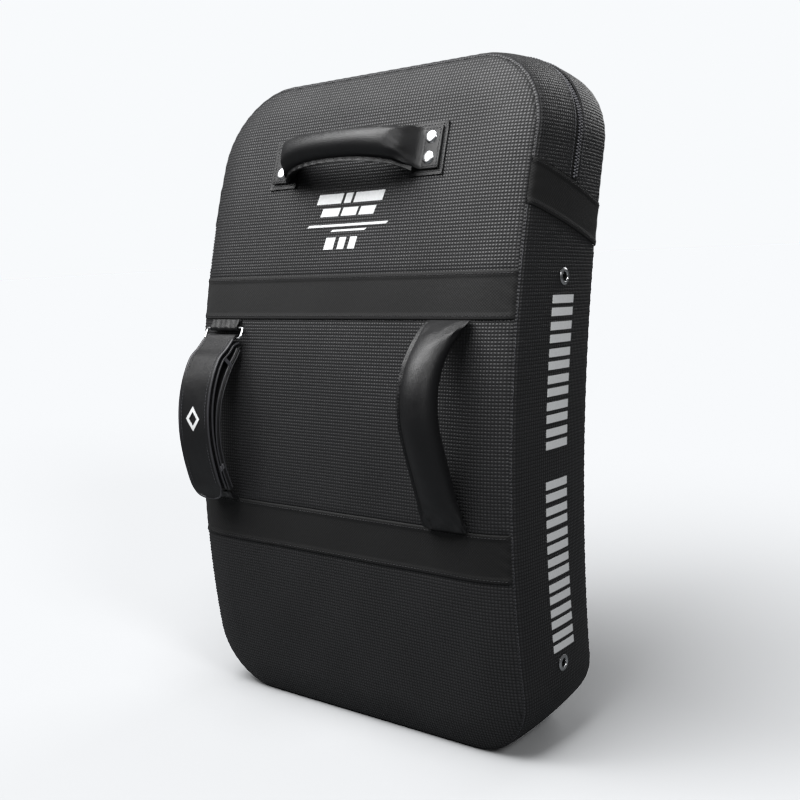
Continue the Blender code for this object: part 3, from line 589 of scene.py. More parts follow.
def line_on(surface, first, second, rise=0.0):
    """Points along a line on a surface, and the surface's outward directions there."""
    first, second = np.broadcast_arrays(np.asarray(first, float), np.asarray(second, float))
    step = 0.0005
    over = surface(first + step, second) - surface(first - step, second)
    up = surface(first, second + step) - surface(first, second - step)
    outward = unit(np.cross(over, up))
    return surface(first, second) + outward * rise, outward


STITCH = bead(0.0030, 0.0008, 0.0008)
STITCH_PITCH = 0.0040
print("one stitch has", len(STITCH[1]), "faces")

# %% [markdown]
# ## The holder's side
#
# Three embossed panels are sewn edge to edge with two webbing bands. Each panel is one grid. Its
# columns crowd towards the side seams and its rows towards the rounded end, because that is where
# the surface turns quickest.


# %% Holder's panels
def crowd_both(t):
    """Even steps from 0 to 1, made to crowd at both ends."""
    return 0.5 - 0.5 * np.cos(np.pi * t)


def face_sheet(name, surface, low, high, rows, finish, ease, side=1, columns=96):
    """A sheet over the whole width of one side, from height low to high."""
    def shape(u, v):
        s = low + (high - low) * ease(v)
        x = side * half_width(s, EDGE_INSET) * (2 * crowd_both(u) - 1)
        return surface(x, s), (x, s * (1 + 0.3 * (BEND * (s - BEND_HEIGHT)) ** 2))

    return cut_sheet(name, (columns, rows), shape, finish, LEATHER)


PANEL_DIVE, DIVE_RUN = 0.0007, 0.0025


def band_dip(s, low, high):
    """A panel dives a little under the webbing that is sewn on its edges."""
    near = np.minimum(np.abs(s - low), np.abs(high - s))
    return -PANEL_DIVE * np.exp(-near / DIVE_RUN)


TOP, BOTTOM = SEAM_HEIGHT - EDGE_INSET, EDGE_INSET
PANELS = {
    "lower": (BOTTOM, LOWER_BAND[0], 84, lambda v: 1 - np.cos(v * np.pi / 2)),
    "middle": (LOWER_BAND[1], UPPER_BAND[0], 70, crowd_both),
    "upper": (UPPER_BAND[1], TOP, 84, lambda v: np.sin(v * np.pi / 2)),
}
for word, (low, high, rows, ease) in PANELS.items():
    def panel_surface(x, s, low=low, high=high):
        ends = band_dip(s, low if low > BOTTOM else -1, high if high < TOP else 2)
        return holder_side(x, s, ends)

    panel = face_sheet(f"holder_{word}_leather", panel_surface, low, high, rows, "embossed_leather", ease)
    hand_over(panel, "shield", "embossed_leather", f"holder_face_{word}_panel")

strike = face_sheet("strike_leather", strike_side, BOTTOM, TOP, 170, "embossed_leather", crowd_both, side=-1)
hand_over(strike, "shield", "embossed_leather", "strike_face_cover")
print("three holder panels and one strike panel")

# %% [markdown]
# Each band is webbing with its long edges folded under, so it is thicker for 6 mm along each edge,
# and a row of stitches holds each fold.

# %% Bands across the holder's side
FOLD, FOLD_RISE, FOLD_STEP = 0.006, 0.0007, 0.0007
BAND_THREAD_IN, BAND_THREAD_HALF = 0.0035, 0.224


def folded(distance, end=0.0012):
    """Height of a folded edge: rounded at the fold, thick over it, then thin."""
    start = np.sqrt(np.clip(distance / end, 0, 1))
    step = 0.5 + 0.5 * np.tanh((FOLD - distance) / FOLD_STEP)
    return BAND_RISE * start + FOLD_RISE * step * start


for word, (low, high) in {"upper": UPPER_BAND, "lower": LOWER_BAND}.items():
    def band_surface(x, s, low=low, high=high):
        return holder_side(x, s, folded(np.minimum(s - low, high - s)) - 0.0002)

    band = face_sheet(f"{word}_band_webbing", band_surface, low, high, 44, "woven_band", crowd_both)
    across = np.linspace(-BAND_THREAD_HALF, BAND_THREAD_HALF, 240)
    rows_of_thread = [
        row_along("thread", STITCH, *line_on(holder_side, across, at, BAND_RISE + FOLD_RISE), STITCH_PITCH,
                  "thread")
        for at in (low + BAND_THREAD_IN, high - BAND_THREAD_IN)]
    hand_over(join([band, *rows_of_thread], f"{word}_band_webbing"), "shield", "woven_band",
              f"{word}_face_band")
print("two bands with folded, stitched edges")

# %% [markdown]
# ## The gusset
#
# The lower gusset runs from one side band, down, under the shield and up to the other. Four
# eyelets let air out when the shield is struck, so the leather has real holes there, cut by a
# Boolean.

# %% Gusset leather and side bands
GUSSET_EDGE = 0.0006
ZIP_OPENING = 0.0064
ZIP_END = -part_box("zip_end_stop")[0].x - 0.0035
EYELETS = {"upper": 0.508, "lower": 0.094}
EYELET_HOLE = 0.0058


def gusset_sheet(name, start, end, edges, size, finish, rise=None, wall=LEATHER):
    """A strip of gusset between two slanted ends. start(w) and end(w) are distances round the seam."""
    def shape(u, v):
        middle = (start(0.0) + end(0.0)) / 2
        rough = start(0.0) + (end(0.0) - start(0.0)) * v
        width = gusset_width(seam_point(rough if end(0.0) - start(0.0) > 0.1 else middle + 0 * v)[1])
        low, high = edges(rough, width)
        w = low + (high - low) * crowd_both(u)
        around = start(w) + (end(w) - start(w)) * v
        stand = rise(w, around, width) if rise else 0.0
        return gusset(w, around, stand), (w, around)

    return cut_sheet(name, size, shape, finish, wall)


def whole(around, width):
    return GUSSET_EDGE, width - GUSSET_EDGE


def side_frame(side, s, rise=0.0):
    """Local frame on the gusset's middle line, with Z straight out of the shield."""
    at = gusset(gusset_width(s) / 2, around_at(s), rise)
    matrix = Matrix(((0, side, 0), (0, 0, 1), (side, 0, 0))).transposed().to_4x4()
    matrix.translation = (side * at[0], at[1], at[2])
    return matrix


lower_gusset = gusset_sheet("lower_gusset_leather", lambda w: -side_band_edge(SIDE_BAND[0], w),
                            lambda w: side_band_edge(SIDE_BAND[0], w), whole, (34, 440),
                            "embossed_leather")
for side in (1, -1):
    for height in EYELETS.values():
        deselect()
        bpy.ops.mesh.primitive_cylinder_add(vertices=32, radius=EYELET_HOLE, depth=0.02)
        punch = bpy.context.object
        punch.data.transform(side_frame(side, height))
        apply_modifier(lower_gusset, "BOOLEAN", operation="DIFFERENCE", object=punch)
        bpy.data.objects.remove(punch)
hand_over(lower_gusset, "shield", "embossed_leather", "lower_gusset")


def band_rise(w, around, width):
    edge = np.minimum(around - side_band_edge(SIDE_BAND[0], w), side_band_edge(SIDE_BAND[1], w) - around)
    return folded(np.abs(edge)) + 0.0003


def mirrored_rise(w, around, width):
    return band_rise(w, -around, width)


SIDE_BANDS = {
    "right": (lambda w: side_band_edge(SIDE_BAND[0], w), lambda w: side_band_edge(SIDE_BAND[1], w),
              band_rise),
    "left": (lambda w: -side_band_edge(SIDE_BAND[1], w), lambda w: -side_band_edge(SIDE_BAND[0], w),
             mirrored_rise),
}
for word, (start, end, rise) in SIDE_BANDS.items():
    band = gusset_sheet(f"{word}_side_webbing", start, end, whole, (40, 48), "woven_band", rise)
    depth = np.linspace(0.004, 0.140, 120)
    threads = [
        row_along("thread", STITCH,
                  *line_on(gusset, depth, line(depth) + shift, BAND_RISE + FOLD_RISE + 0.0003),
                  STITCH_PITCH, "thread")
        for line, shift in ((start, BAND_THREAD_IN), (end, -BAND_THREAD_IN))]
    hand_over(join([band, *threads], f"{word}_side_webbing"), "shield", "woven_band", f"{word}_gusset_band")
print("gusset", round(2000 * HALF_ROUND), "mm round")

# %% [markdown]
# Above the side bands the gusset is two strips with the zip between them. Each strip's edge is
# folded back and topstitched beside the coil. The zip is seen at the right corner, so its left end
# is a guess: it stops just short of the left corner, where the two strips close to a plain seam.


# %% Upper gusset
def zip_opening(around):
    """Half the opening between the strips, closing to a plain seam past the zip's end."""
    past = around - (HALF_ROUND + ZIP_END + 0.006)
    return ZIP_OPENING + (0.0002 - ZIP_OPENING) * np.clip(past / 0.010, 0, 1)


def right_end(w):
    return side_band_edge(SIDE_BAND[1], w) + 0.0004


def left_end(w):
    return 2 * HALF_ROUND - right_end(w)


def upper_strip(name, edges, thread_depth, node_name):
    def rise(w, around, width):
        from_fold = np.abs(np.abs(w - width / 2) - zip_opening(around))
        return folded(from_fold) * 0.6

    strip = gusset_sheet(name, right_end, left_end, edges, (22, 260), "embossed_leather", rise)
    around = np.linspace(right_end(0.07) + 0.004, left_end(0.07) - 0.004, 500)
    width = gusset_width(seam_point(around)[1])
    # This topstitching is in the lighter thread, a painted highlight for its glints.
    thread = row_along("thread", STITCH, *line_on(gusset, thread_depth(around, width), around, 0.0012),
                       STITCH_PITCH, "seam_thread")
    hand_over(join([strip, thread], name), "shield", "embossed_leather", node_name)


upper_strip("upper_gusset_front_leather", lambda a, width: (GUSSET_EDGE, width / 2 - zip_opening(a)),
            lambda a, width: width / 2 - zip_opening(a) - 0.003, "upper_gusset_front")
upper_strip("upper_gusset_rear_leather", lambda a, width: (width / 2 + zip_opening(a), width - GUSSET_EDGE),
            lambda a, width: width / 2 + zip_opening(a) + 0.003, "upper_gusset_rear")
print("two upper strips")

# %% [markdown]
# ## The zip
#
# A coil zip is two woven tapes, each with a nylon spiral sewn on its edge. From outside, each turn
# of the spiral shows as one small tooth. The turns are drawn 3.5 mm apart, a little coarser than a
# real coil, and the two sides start a little apart. Each tooth is a bead with few faces, because
# there are hundreds.

# %% Zip
TOOTH = bead(0.0023, 0.0046, 0.0017)
TOOTH_PITCH, TOOTH_IN, TAPE_DEPTH, TAPE_WIDTH = 0.0035, 0.0021, -0.0014, 0.013
SIDE_RISE, SIDE_TOP, SIDE_FADE, TOP_SINK = 0.0024, 0.70, 0.03, 0.0010


def zip_rise(around):
    """The zip stands a little prouder down the side, below the slider's straight run."""
    s = seam_point(around)[1]
    return SIDE_RISE * np.clip((SIDE_TOP - s) / SIDE_FADE, 0, 1) - TOP_SINK


zip_around = np.linspace(right_end(0.07) + 0.001, HALF_ROUND + ZIP_END, 900)
for side, word in ((-1, "front"), (1, "rear")):
    def tape_edges(around, width, side=side):
        near, far = width / 2 + side * 0.0006, width / 2 + side * TAPE_WIDTH
        return (near, far) if side > 0 else (far, near)

    tape = gusset_sheet(f"zip_tape_{word}_cloth", lambda w: right_end(w) - 0.006,
                        lambda w: HALF_ROUND + ZIP_END + 0.004 + 0 * w, tape_edges, (8, 200), "zip_fabric",
                        lambda w, around, width: TAPE_DEPTH + 0.7 * zip_rise(around), wall=0.0007)
    hand_over(tape, "shield", "zip_fabric", f"zip_tape_{word}")
    width = gusset_width(seam_point(zip_around)[1])
    first = 0 if side < 0 else 3
    teeth = row_along(f"zip_teeth_{word}", TOOTH,
                      *line_on(gusset, (width / 2 + side * TOOTH_IN)[first:], zip_around[first:],
                               zip_rise(zip_around[first:])[:, None]),
                      TOOTH_PITCH, "zip_nylon")
    hand_over(teeth, "shield", "zip_nylon", f"zip_coil_{word}")
print("zip", round(1000 * (zip_around[-1] - zip_around[0])), "mm long")


# %% [markdown]
# The slider, its pull, the stop and the strap's ring are the right shape in the working model, only
# faceted. A copy of each is merged and given a small bevel or one subdivision, so that its edges
# catch the light as cast metal does.

# %% Metal pieces refined from the working model
def refined(name, cad_node, body, slot, kind, **settings):
    deselect()
    piece = frame["nodes"][cad_node].copy()
    piece.data = frame["nodes"][cad_node].data.copy()
    bpy.context.scene.collection.objects.link(piece)
    piece.parent = None
    piece.matrix_world = Matrix.Identity(4)
    for key in list(piece.keys()):
        del piece[key]
    piece.name = piece.data.name = name
    edit(piece, lambda: bpy.ops.mesh.remove_doubles(threshold=0.00001),
         lambda: bpy.ops.mesh.tris_convert_to_quads())
    apply_modifier(piece, kind, **settings)
    return hand_over(smooth(piece, 50), body, slot, cad_node)


BEVEL = {"width": 0.00025, "segments": 2, "limit_method": "ANGLE"}
refined("cast_zip_slider", "zip_slider", "zip_slider", "black_metal", "BEVEL", **BEVEL)
refined("cast_zip_pull", "zip_pull_tab", "zip_pull", "black_metal", "BEVEL", **BEVEL)
refined("zip_stop_clamp", "zip_end_stop", "shield", "nickel", "BEVEL", **BEVEL)
refined("wire_ring", "arm_strap_ring", "shield", "nickel", "SUBSURF", levels=1, render_levels=1)
print("four refined metal pieces")

# %% [markdown]
# ## The foam inside
#
# Three slabs of foam fill the cover: a soft one behind the holder's side, a core, and a firm one
# that takes the kicks. They show only when the zip is open. They take the cover's rounder rear
# corners, and knife-cut foam has slightly soft edges, so each gets a bevel.

# %% Foam slabs
FOAM_LAYERS = {"soft": "holder_foam_layer", "core": "core_foam_block", "firm": "impact_foam_layer"}
for word, foam_node in FOAM_LAYERS.items():
    slab = refined(f"{word}_foam_slab", foam_node, "shield", f"{word}_foam", "BEVEL", width=0.001,
                   segments=2, limit_method="ANGLE")
    at = np.array([corner.co[:] for corner in slab.data.vertices])
    behind_seam = at[:, 1] - BEND * (at[:, 2] - BEND_HEIGHT) ** 2 - SHIFT
    at[:, 2] += corner_lift(at[:, 0], at[:, 2], behind_seam)
    slab.data.vertices.foreach_set("co", at.ravel())
    slab.data.update()
print("three foam slabs")

# %% [markdown]
# ## Seams
#
# The cover is sewn inside out, so the main seams show as a crease with the thread glinting in it.
# One row of thread follows each seam all the way round, drawn lighter grey as a painted highlight
# for those glints.

# %% Main seams
outline = np.linspace(0, 2 * HALF_ROUND, 1600)
outline_width = gusset_width(seam_point(outline)[1])
SEAM_STITCH_IN, SEAM_STITCH_RISE = 0.0022, 0.0002
SEAM_STITCH = bead(0.0027, 0.0007, 0.0007)
SEAM_DEPTHS = {"holder": SEAM_STITCH_IN, "strike": outline_width - SEAM_STITCH_IN}
for word, depth in SEAM_DEPTHS.items():
    thread = row_along(f"{word}_seam_thread", SEAM_STITCH,
                       *line_on(gusset, depth, outline, SEAM_STITCH_RISE), STITCH_PITCH, "seam_thread")
    hand_over(thread, "shield", "embossed_leather")
print("two main seams")


# %% [markdown]
# ## Eyelets and rivets
#
# These are turned shapes, so each is one profile spun round its axis. Forty steps keep the rims
# round in a close view.

# %% Turned fittings
def turned(name, profile, matrix, finish, steps=40, closed=True):
    """Spin a profile of (radius, height) points about Z, then place it."""
    mesh = bpy.data.meshes.new(name)
    count = len(profile)
    edges = [(i, i + 1) for i in range(count - 1)] + ([(count - 1, 0)] if closed else [])
    mesh.from_pydata([(radius, 0, height) for radius, height in profile], edges, [])
    piece = bpy.data.objects.new(name, mesh)
    bpy.context.scene.collection.objects.link(piece)
    edit(piece,
         lambda: bpy.ops.mesh.spin(steps=steps, angle=2 * math.pi, center=(0, 0, 0), axis=(0, 0, 1)),
         lambda: bpy.ops.mesh.select_all(action="SELECT"),
         lambda: bpy.ops.mesh.remove_doubles(threshold=0.00001),
         lambda: bpy.ops.mesh.normals_make_consistent(inside=False))
    piece.data.transform(matrix)
    piece.data.materials.append(FINISHES[finish])
    return smooth(piece, 35)


def arc_profile(centre, radius, first, last, count=7):
    """Points of a rounded edge, for a profile. Angles are in degrees."""
    angles = np.radians(np.linspace(first, last, count))
    return [(centre[0] + radius * math.cos(a), centre[1] + radius * math.sin(a)) for a in angles]


EYELET = [(0.0047, -0.0036), *arc_profile((0.0065, 0.0004), 0.0018, 180, 60), (0.0085, 0.0012),
          *arc_profile((0.0086, 0.0007), 0.0004, 60, -90, 5), (0.0056, 0.0002), (0.0056, -0.0036)]
for side, side_word in ((1, "right"), (-1, "left")):
    for word, height in EYELETS.items():
        eyelet = turned(f"nickel_eyelet_{side_word}_{word}", EYELET, side_frame(side, height), "nickel")
        hand_over(eyelet, "shield", "nickel", f"eyelet_{side_word}_{word}")
print("four eyelets")

# %% [markdown]
# ## The carry handle
#
# The handle is a foam rod in a leather sleeve. The sleeve's edges meet in a stitched flange along
# its lower side, and its ends are pressed flat and riveted. It is made in two halves that meet in
# the middle.


# %% Curves and tubes
def through(points, count):
    """A smooth curve through listed points (Catmull-Rom)."""
    p = np.array(points, float)
    p = np.vstack([2 * p[0] - p[1], p, 2 * p[-1] - p[-2]])
    t = np.linspace(0, len(points) - 1, count)
    i = np.minimum(t.astype(int), len(points) - 2)
    f = (t - i)[:, None]
    a, b, c, d = p[i], p[i + 1], p[i + 2], p[i + 3]
    return 0.5 * (2 * b + (c - a) * f + (2 * a - 5 * b + 4 * c - d) * f ** 2
                  + (3 * b - a - 3 * c + d) * f ** 3)


def read_table(table, marks):
    """The table's other columns, smoothly read at marks along its first column."""
    fine = through(table, 400)
    return [np.interp(marks, fine[:, 0], fine[:, k]) for k in range(1, fine.shape[1])]


def section(turn, half_a, half_b, power):
    """A ring point: round at power 2, and flatter with squarer corners above it."""
    a, b = np.cos(turn), np.sin(turn)
    return (half_a * np.sign(a) * np.abs(a) ** (2 / power), half_b * np.sign(b) * np.abs(b) ** (2 / power))


def tube(name, size, shape, finish):
    """A grid rolled into a tube, sewn shut along its length and closed at both ends."""
    made = cut_sheet(name, size, shape, finish)
    edit(made, lambda: bpy.ops.mesh.remove_doubles(threshold=0.00002),
         lambda: bpy.ops.mesh.fill_holes(sides=0),
         lambda: bpy.ops.mesh.select_all(action="SELECT"),
         lambda: bpy.ops.mesh.normals_make_consistent(inside=False))
    return smooth(made, 60)


def holder_frame(x, s, up=0.0):
    """Local frame on the holder's side, with Z straight out of it."""
    out = Vector((0, -1, 2 * BEND * (s - BEND_HEIGHT))).normalized()
    across = Vector((1, 0, 0))
    matrix = Matrix((across, out.cross(across), out)).transposed().to_4x4()
    matrix.translation = place(x, s, -HOLDER_CROWN)
    return matrix @ Matrix.Translation((0, up, 0))


# %% Carry handle
CARRY_HEIGHT = 0.643
CARRY_END = 0.1215
FLANGE, FLANGE_THICK, CARRY_FLANGE_END = 0.0050, 0.0022, 0.091
CARRY_CREASES_AT, CARRY_CREASE_RUN = 0.086, 0.009
# distance from the middle, height off the face, half height, half depth, squareness
CARRY = (
    (0.000, 0.0400, 0.0155, 0.0155, 2.0), (0.020, 0.0392, 0.0156, 0.0156, 2.0),
    (0.040, 0.0366, 0.0160, 0.0162, 2.0), (0.056, 0.0326, 0.0166, 0.0168, 2.1),
    (0.068, 0.0280, 0.0174, 0.0174, 2.2), (0.078, 0.0226, 0.0186, 0.0170, 2.3),
    (0.0855, 0.0164, 0.0202, 0.0142, 2.4), (0.0910, 0.0100, 0.0218, 0.0084, 2.8),
    (0.0950, 0.0058, 0.0230, 0.0034, 3.6), (0.0990, 0.0040, 0.0235, 0.0014, 5.0),
    (0.1060, 0.0038, 0.0235, 0.0012, 6.0), (0.1215, 0.0038, 0.0235, 0.0012, 6.0),
)
carry_axes = np.array(holder_frame(0, CARRY_HEIGHT))
carry_origin, (across, up, out) = carry_axes[:3, 3], carry_axes[:3, :3].T


def carry_point(side, x, a, b):
    return carry_origin + side * np.outer(x, across) + np.outer(a, up) + np.outer(b, out)


def end_creases(turn, along, flat_at, run):
    """Creases that gather where a round sleeve is pressed flat."""
    near = np.exp(-((along - flat_at) / run) ** 2)
    return near * (0.0009 * np.sin(6 * turn + 260 * along) + 0.0006 * np.sin(11 * turn - 120 * along))


def carry_half(side):
    def skin(u, v):
        x = CARRY_END * v
        off, half_up, half_out, power = read_table(CARRY, x)
        turn = 2 * math.pi * u * side
        swell = end_creases(turn, x, CARRY_CREASES_AT, CARRY_CREASE_RUN)
        a, b = section(turn, half_up + swell, half_out + swell, power)
        return carry_point(side, x, a, off + b), (u * 0.1, x)

    def flange(u, v):
        x = CARRY_FLANGE_END * v
        off, half_up, _, _ = read_table(CARRY, x)
        ripple = 0.0004 * np.sin(x * 520) * u
        return carry_point(side, x, -half_up + 0.002 - (FLANGE + 0.002) * u, off + ripple), (u * FLANGE, x)

    word = "right" if side > 0 else "left"
    leather = tube("skin", (48, 120), skin, "smooth_leather")
    lip = cut_sheet("lip", (4, 60), flange, "smooth_leather", FLANGE_THICK, 0.0)
    x = np.linspace(0.001, CARRY_FLANGE_END - 0.002, 160)
    off, half_up, half_out, _ = read_table(CARRY, x)
    threads = [row_along("thread", STITCH,
                         carry_point(side, x, -half_up - FLANGE * 0.45, off + face * FLANGE_THICK / 2),
                         np.tile(out * face, (len(x), 1)), STITCH_PITCH, "thread") for face in (1, -1)]
    handle = join([leather, lip, *threads], f"carry_handle_{word}_half")
    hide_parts("carry_handle_sleeve", f"carry_handle_{word}_tab")
    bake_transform(handle)


for side in (1, -1):
    carry_half(side)
print("carry handle", round(2000 * CARRY_END), "mm long")

# %% [markdown]
# Under each end lies a patch of the same leather, stitched all round. The flat end has a stitched
# edge of its own, and two nickel rivets with domed caps go through both into the cover.

# %% Patches and rivets
PATCH_HALF, PATCH_RISE, PATCH_THICK = (0.0205, 0.0275), 0.0018, 0.0015
PATCH_AT, RIVET_AT, RIVET_RISE = 0.1058, 0.108, 0.0115
PATCH_THREAD_IN, TAB_THREAD_HALF = 0.003, (0.0092, 0.0208)
TAB_THREAD_AT, TAB_TOP = 0.1098, 0.0052
RIVET = [(0, 0.0070), (0.0036, 0.0069), *arc_profile((0.0051, 0.0044), 0.0024, 80, 0, 6), (0.0073, 0.0040),
         (0.0020, 0.0038), (0.0020, -0.0030), (0.0032, -0.0032), (0.0032, -0.0039), (0, -0.0039)]


def border(half_a, half_b, count=60):
    """A closed rectangle of points, as two arrays."""
    corners_a = half_a * np.array([-1, 1, 1, -1, -1])
    corners_b = half_b * np.array([-1, -1, 1, 1, -1])
    marks = np.linspace(0, 4, 4 * count + 1)
    return np.interp(marks, range(5), corners_a), np.interp(marks, range(5), corners_b)


for side, side_word in ((1, "right"), (-1, "left")):
    def patch_shape(u, v, side=side):
        a, b = PATCH_HALF[0] * (2 * u - 1), PATCH_HALF[1] * (2 * v - 1)
        corner = 0.0010 * (np.abs(a / PATCH_HALF[0]) * np.abs(b / PATCH_HALF[1])) ** 6
        return holder_side(side * PATCH_AT + a, CARRY_HEIGHT + b, PATCH_RISE + corner), (a, b)

    patch = cut_sheet("patch", (20, 26), patch_shape, "smooth_leather", PATCH_THICK)
    a, b = border(*(half - PATCH_THREAD_IN for half in PATCH_HALF))
    thread = row_along("thread", STITCH,
                       *line_on(holder_side, side * PATCH_AT + a, CARRY_HEIGHT + b, PATCH_RISE + 0.0002),
                       STITCH_PITCH, "thread")
    hand_over(join([patch, thread], f"stitched_patch_{side_word}"), "shield", "smooth_leather",
              f"carry_handle_{side_word}_patch")
    a, b = border(*TAB_THREAD_HALF)
    tab_top = carry_point(side, TAB_THREAD_AT + a, b, np.full(len(a), TAB_TOP))
    tab_thread = row_along(f"tab_thread_{side_word}", STITCH, tab_top, np.tile(out, (len(a), 1)),
                           STITCH_PITCH, "thread")
    hand_over(tab_thread, "shield", "smooth_leather")
    for rise, word in ((RIVET_RISE, "upper"), (-RIVET_RISE, "lower")):
        cap = turned(f"domed_rivet_{side_word}_{word}", RIVET,
                     holder_frame(side * RIVET_AT, CARRY_HEIGHT, rise), "nickel", closed=False)
        hand_over(cap, "shield", "nickel", f"rivet_{side_word}_{word}")
print("two patches, four rivets")

# %% [markdown]
# ## The grip handle
#
# The same rod and sleeve, but upright, and its flat ends are sewn into the two bands. Its flange is
# on the side away from the fingers.

# %% Grip handle
GRIP_X = 0.158
GRIP_CROWN_AT = 0.388
# height, distance off the face, half width, half depth, squareness
GRIP = (
    (0.2527, 0.0044, 0.0262, 0.0038, 3.0), (0.2590, 0.0068, 0.0258, 0.0062, 2.7),
    (0.2680, 0.0102, 0.0245, 0.0094, 2.4), (0.2780, 0.0136, 0.0225, 0.0124, 2.2),
    (0.2900, 0.0176, 0.0205, 0.0156, 2.1), (0.3150, 0.0266, 0.0192, 0.0186, 2.0),
    (0.3400, 0.0365, 0.0188, 0.0192, 2.0), (0.3650, 0.0455, 0.0188, 0.0188, 2.0),
    (0.3880, 0.0485, 0.0188, 0.0188, 2.0), (0.4080, 0.0470, 0.0189, 0.0189, 2.0),
    (0.4270, 0.0402, 0.0192, 0.0192, 2.0), (0.4420, 0.0295, 0.0202, 0.0186, 2.0),
    (0.4520, 0.0205, 0.0220, 0.0156, 2.2), (0.4590, 0.0132, 0.0240, 0.0110, 2.4),
    (0.4630, 0.0086, 0.0252, 0.0074, 2.7), (0.4660, 0.0050, 0.0260, 0.0042, 3.0),
)
FLANGE_LEAN, GRIP_FLANGE = math.radians(146), 0.0032
GRIP_FLANGE_ENDS, GRIP_THREAD_ENDS = (0.256, 0.463), (0.262, 0.458)
GRIP_CREASES_AT = {"upper": 0.461, "lower": 0.260}


def grip_point(a, s, off):
    return place(GRIP_X + a, s, -HOLDER_CROWN - off)


def grip_half(word, start_s, blend_end):
    low, high = min(start_s, GRIP_CROWN_AT), max(start_s, GRIP_CROWN_AT)

    def skin(u, v):
        s = low + (high - low) * v
        off, half, half_out, power = read_table(GRIP, s)
        turn = -2 * math.pi * u
        swell = end_creases(turn, s, GRIP_CREASES_AT[word], 0.010)
        a, b = section(turn, half + swell, half_out + swell, power)
        return grip_point(a, s, off + b), (u * 0.11, s)

    def flange(u, v):
        s = np.clip(low + (high - low) * v, *GRIP_FLANGE_ENDS)
        off, half, half_out, _ = read_table(GRIP, s)
        reach = -0.002 + (GRIP_FLANGE + 0.002) * u
        ripple = 0.00015 * np.sin(s * 480) * u
        a = (half + reach) * math.cos(FLANGE_LEAN) + ripple
        b = (half_out + reach) * math.sin(FLANGE_LEAN) + ripple
        return grip_point(a, s, off + b), (u * GRIP_FLANGE, s)

    leather = tube("skin", (52, 84), skin, "smooth_leather")
    lip = cut_sheet("lip", (4, 60), flange, "smooth_leather", FLANGE_THICK, 0.0)
    edit(lip, lambda: bpy.ops.mesh.remove_doubles(threshold=0.00002))
    s = np.linspace(max(low, GRIP_THREAD_ENDS[0]), min(high, GRIP_THREAD_ENDS[1]), 200)
    off, half, half_out, _ = read_table(GRIP, s)
    lean = np.array([math.cos(FLANGE_LEAN), math.sin(FLANGE_LEAN)])
    outward = np.array([lean[1], -lean[0]])
    a, b = ((size + GRIP_FLANGE * 0.5) * lean_share + outward_share * FLANGE_THICK / 2
            for size, lean_share, outward_share in zip((half, half_out), lean, outward))
    thread = row_along("thread", STITCH, grip_point(a, s, off + b),
                       np.tile([outward[0], -outward[1], 0], (len(s), 1)), STITCH_PITCH, "thread")
    handle = join([leather, lip, thread], f"grip_handle_{word}_half")
    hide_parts("grip_handle_sleeve", f"grip_handle_{word}_tab")
    start, end = (Vector(grip_point(0.0, s, 0.0)) for s in (start_s, blend_end))
    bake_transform(handle)


grip_half("upper", GRIP[-1][0], 0.440)
grip_half("lower", GRIP[0][0], 0.288)
print("grip handle", round(1000 * (GRIP[-1][0] - GRIP[0][0])), "mm between its sewn ends")

# %% [markdown]
# ## The arm strap
#
# The strap holds the forearm. Its outer flap is looped round a wire ring, turns back over the arm
# and closes with hook and loop on a sewn carrier, and a soft pad lies inside. Each layer is a strip
# that follows its own line, and neighbours are offsets of one line so that they nest.

# %% Arm strap
STRAP_X, STRAP_HALF = -0.174, 0.025
RING_UPPER, RING_LOWER = (0.456, 0.0050), (0.444, 0.0095)
FLAP_THICK, PATCH_OF_HOOKS, CARRIER_THICK, LAYER_GAP = 0.002, 0.0015, 0.0022, 0.0003
# height and distance off the face
FLAP_ARCH = (
    (0.4424, 0.0148), (0.4318, 0.0240), (0.4220, 0.0345), (0.4050, 0.0422), (0.3850, 0.0474),
    (0.3620, 0.0498), (0.3350, 0.0486), (0.3080, 0.0436), (0.2850, 0.0372), (0.2750, 0.0338),
    (0.2670, 0.0308), (0.2600, 0.0283), (0.2560, 0.0269),
)
PAD_PATH = (
    (0.4335, 0.0050), (0.4240, 0.0100), (0.4130, 0.0172), (0.3970, 0.0250), (0.3750, 0.0328),
    (0.3500, 0.0358), (0.3220, 0.0344), (0.2960, 0.0282), (0.2760, 0.0212), (0.2660, 0.0174),
)


def offset_line(line, distance):
    """A line beside another, both as (height, distance off the face)."""
    step = np.gradient(np.array(line, float), axis=0)
    return np.array(line) + unit(np.stack([-step[:, 1], step[:, 0]], axis=-1)) * distance


def strap(name, line, half, thickness, finish, size, wave=None):
    """A strip of cloth along a line. half(v) is its half width, and wave(a, v) lifts it off the face."""
    fine = through(line, 300)

    def shape(u, v):
        s, off = (np.interp(v, np.linspace(0, 1, 300), fine[:, k]) for k in (0, 1))
        a = half(v) * (2 * u - 1)
        return place(STRAP_X + a, s, -HOLDER_CROWN - off - (wave(a, v) if wave else 0)), (a, s)

    made = cut_sheet(name, size, shape, finish, thickness, 0.0)
    apply_modifier(made, "BEVEL", width=thickness * 0.22, segments=2, limit_method="ANGLE",
                   angle_limit=math.radians(60))
    return smooth(made, 50)


def strap_path(line, a, marks):
    """Points on a strap's line at shares of its length, a away from its middle, and outward directions."""
    fine = through(line, 300)
    step = np.gradient(fine, axis=0)
    s, off, ds, d_off = (np.interp(marks, np.linspace(0, 1, 300), column) for column in (*fine.T, *step.T))
    return place(STRAP_X + a, s, -HOLDER_CROWN - off), unit(np.stack([0 * s, ds, d_off], axis=-1))


def strap_thread(line, a, first=0.0, last=1.0, finish="thread"):
    """A row of thread along a strap, on the side away from the face."""
    path = strap_path(line, a, np.linspace(first, last, 200))
    return row_along("thread", STITCH, *path, STITCH_PITCH, finish)


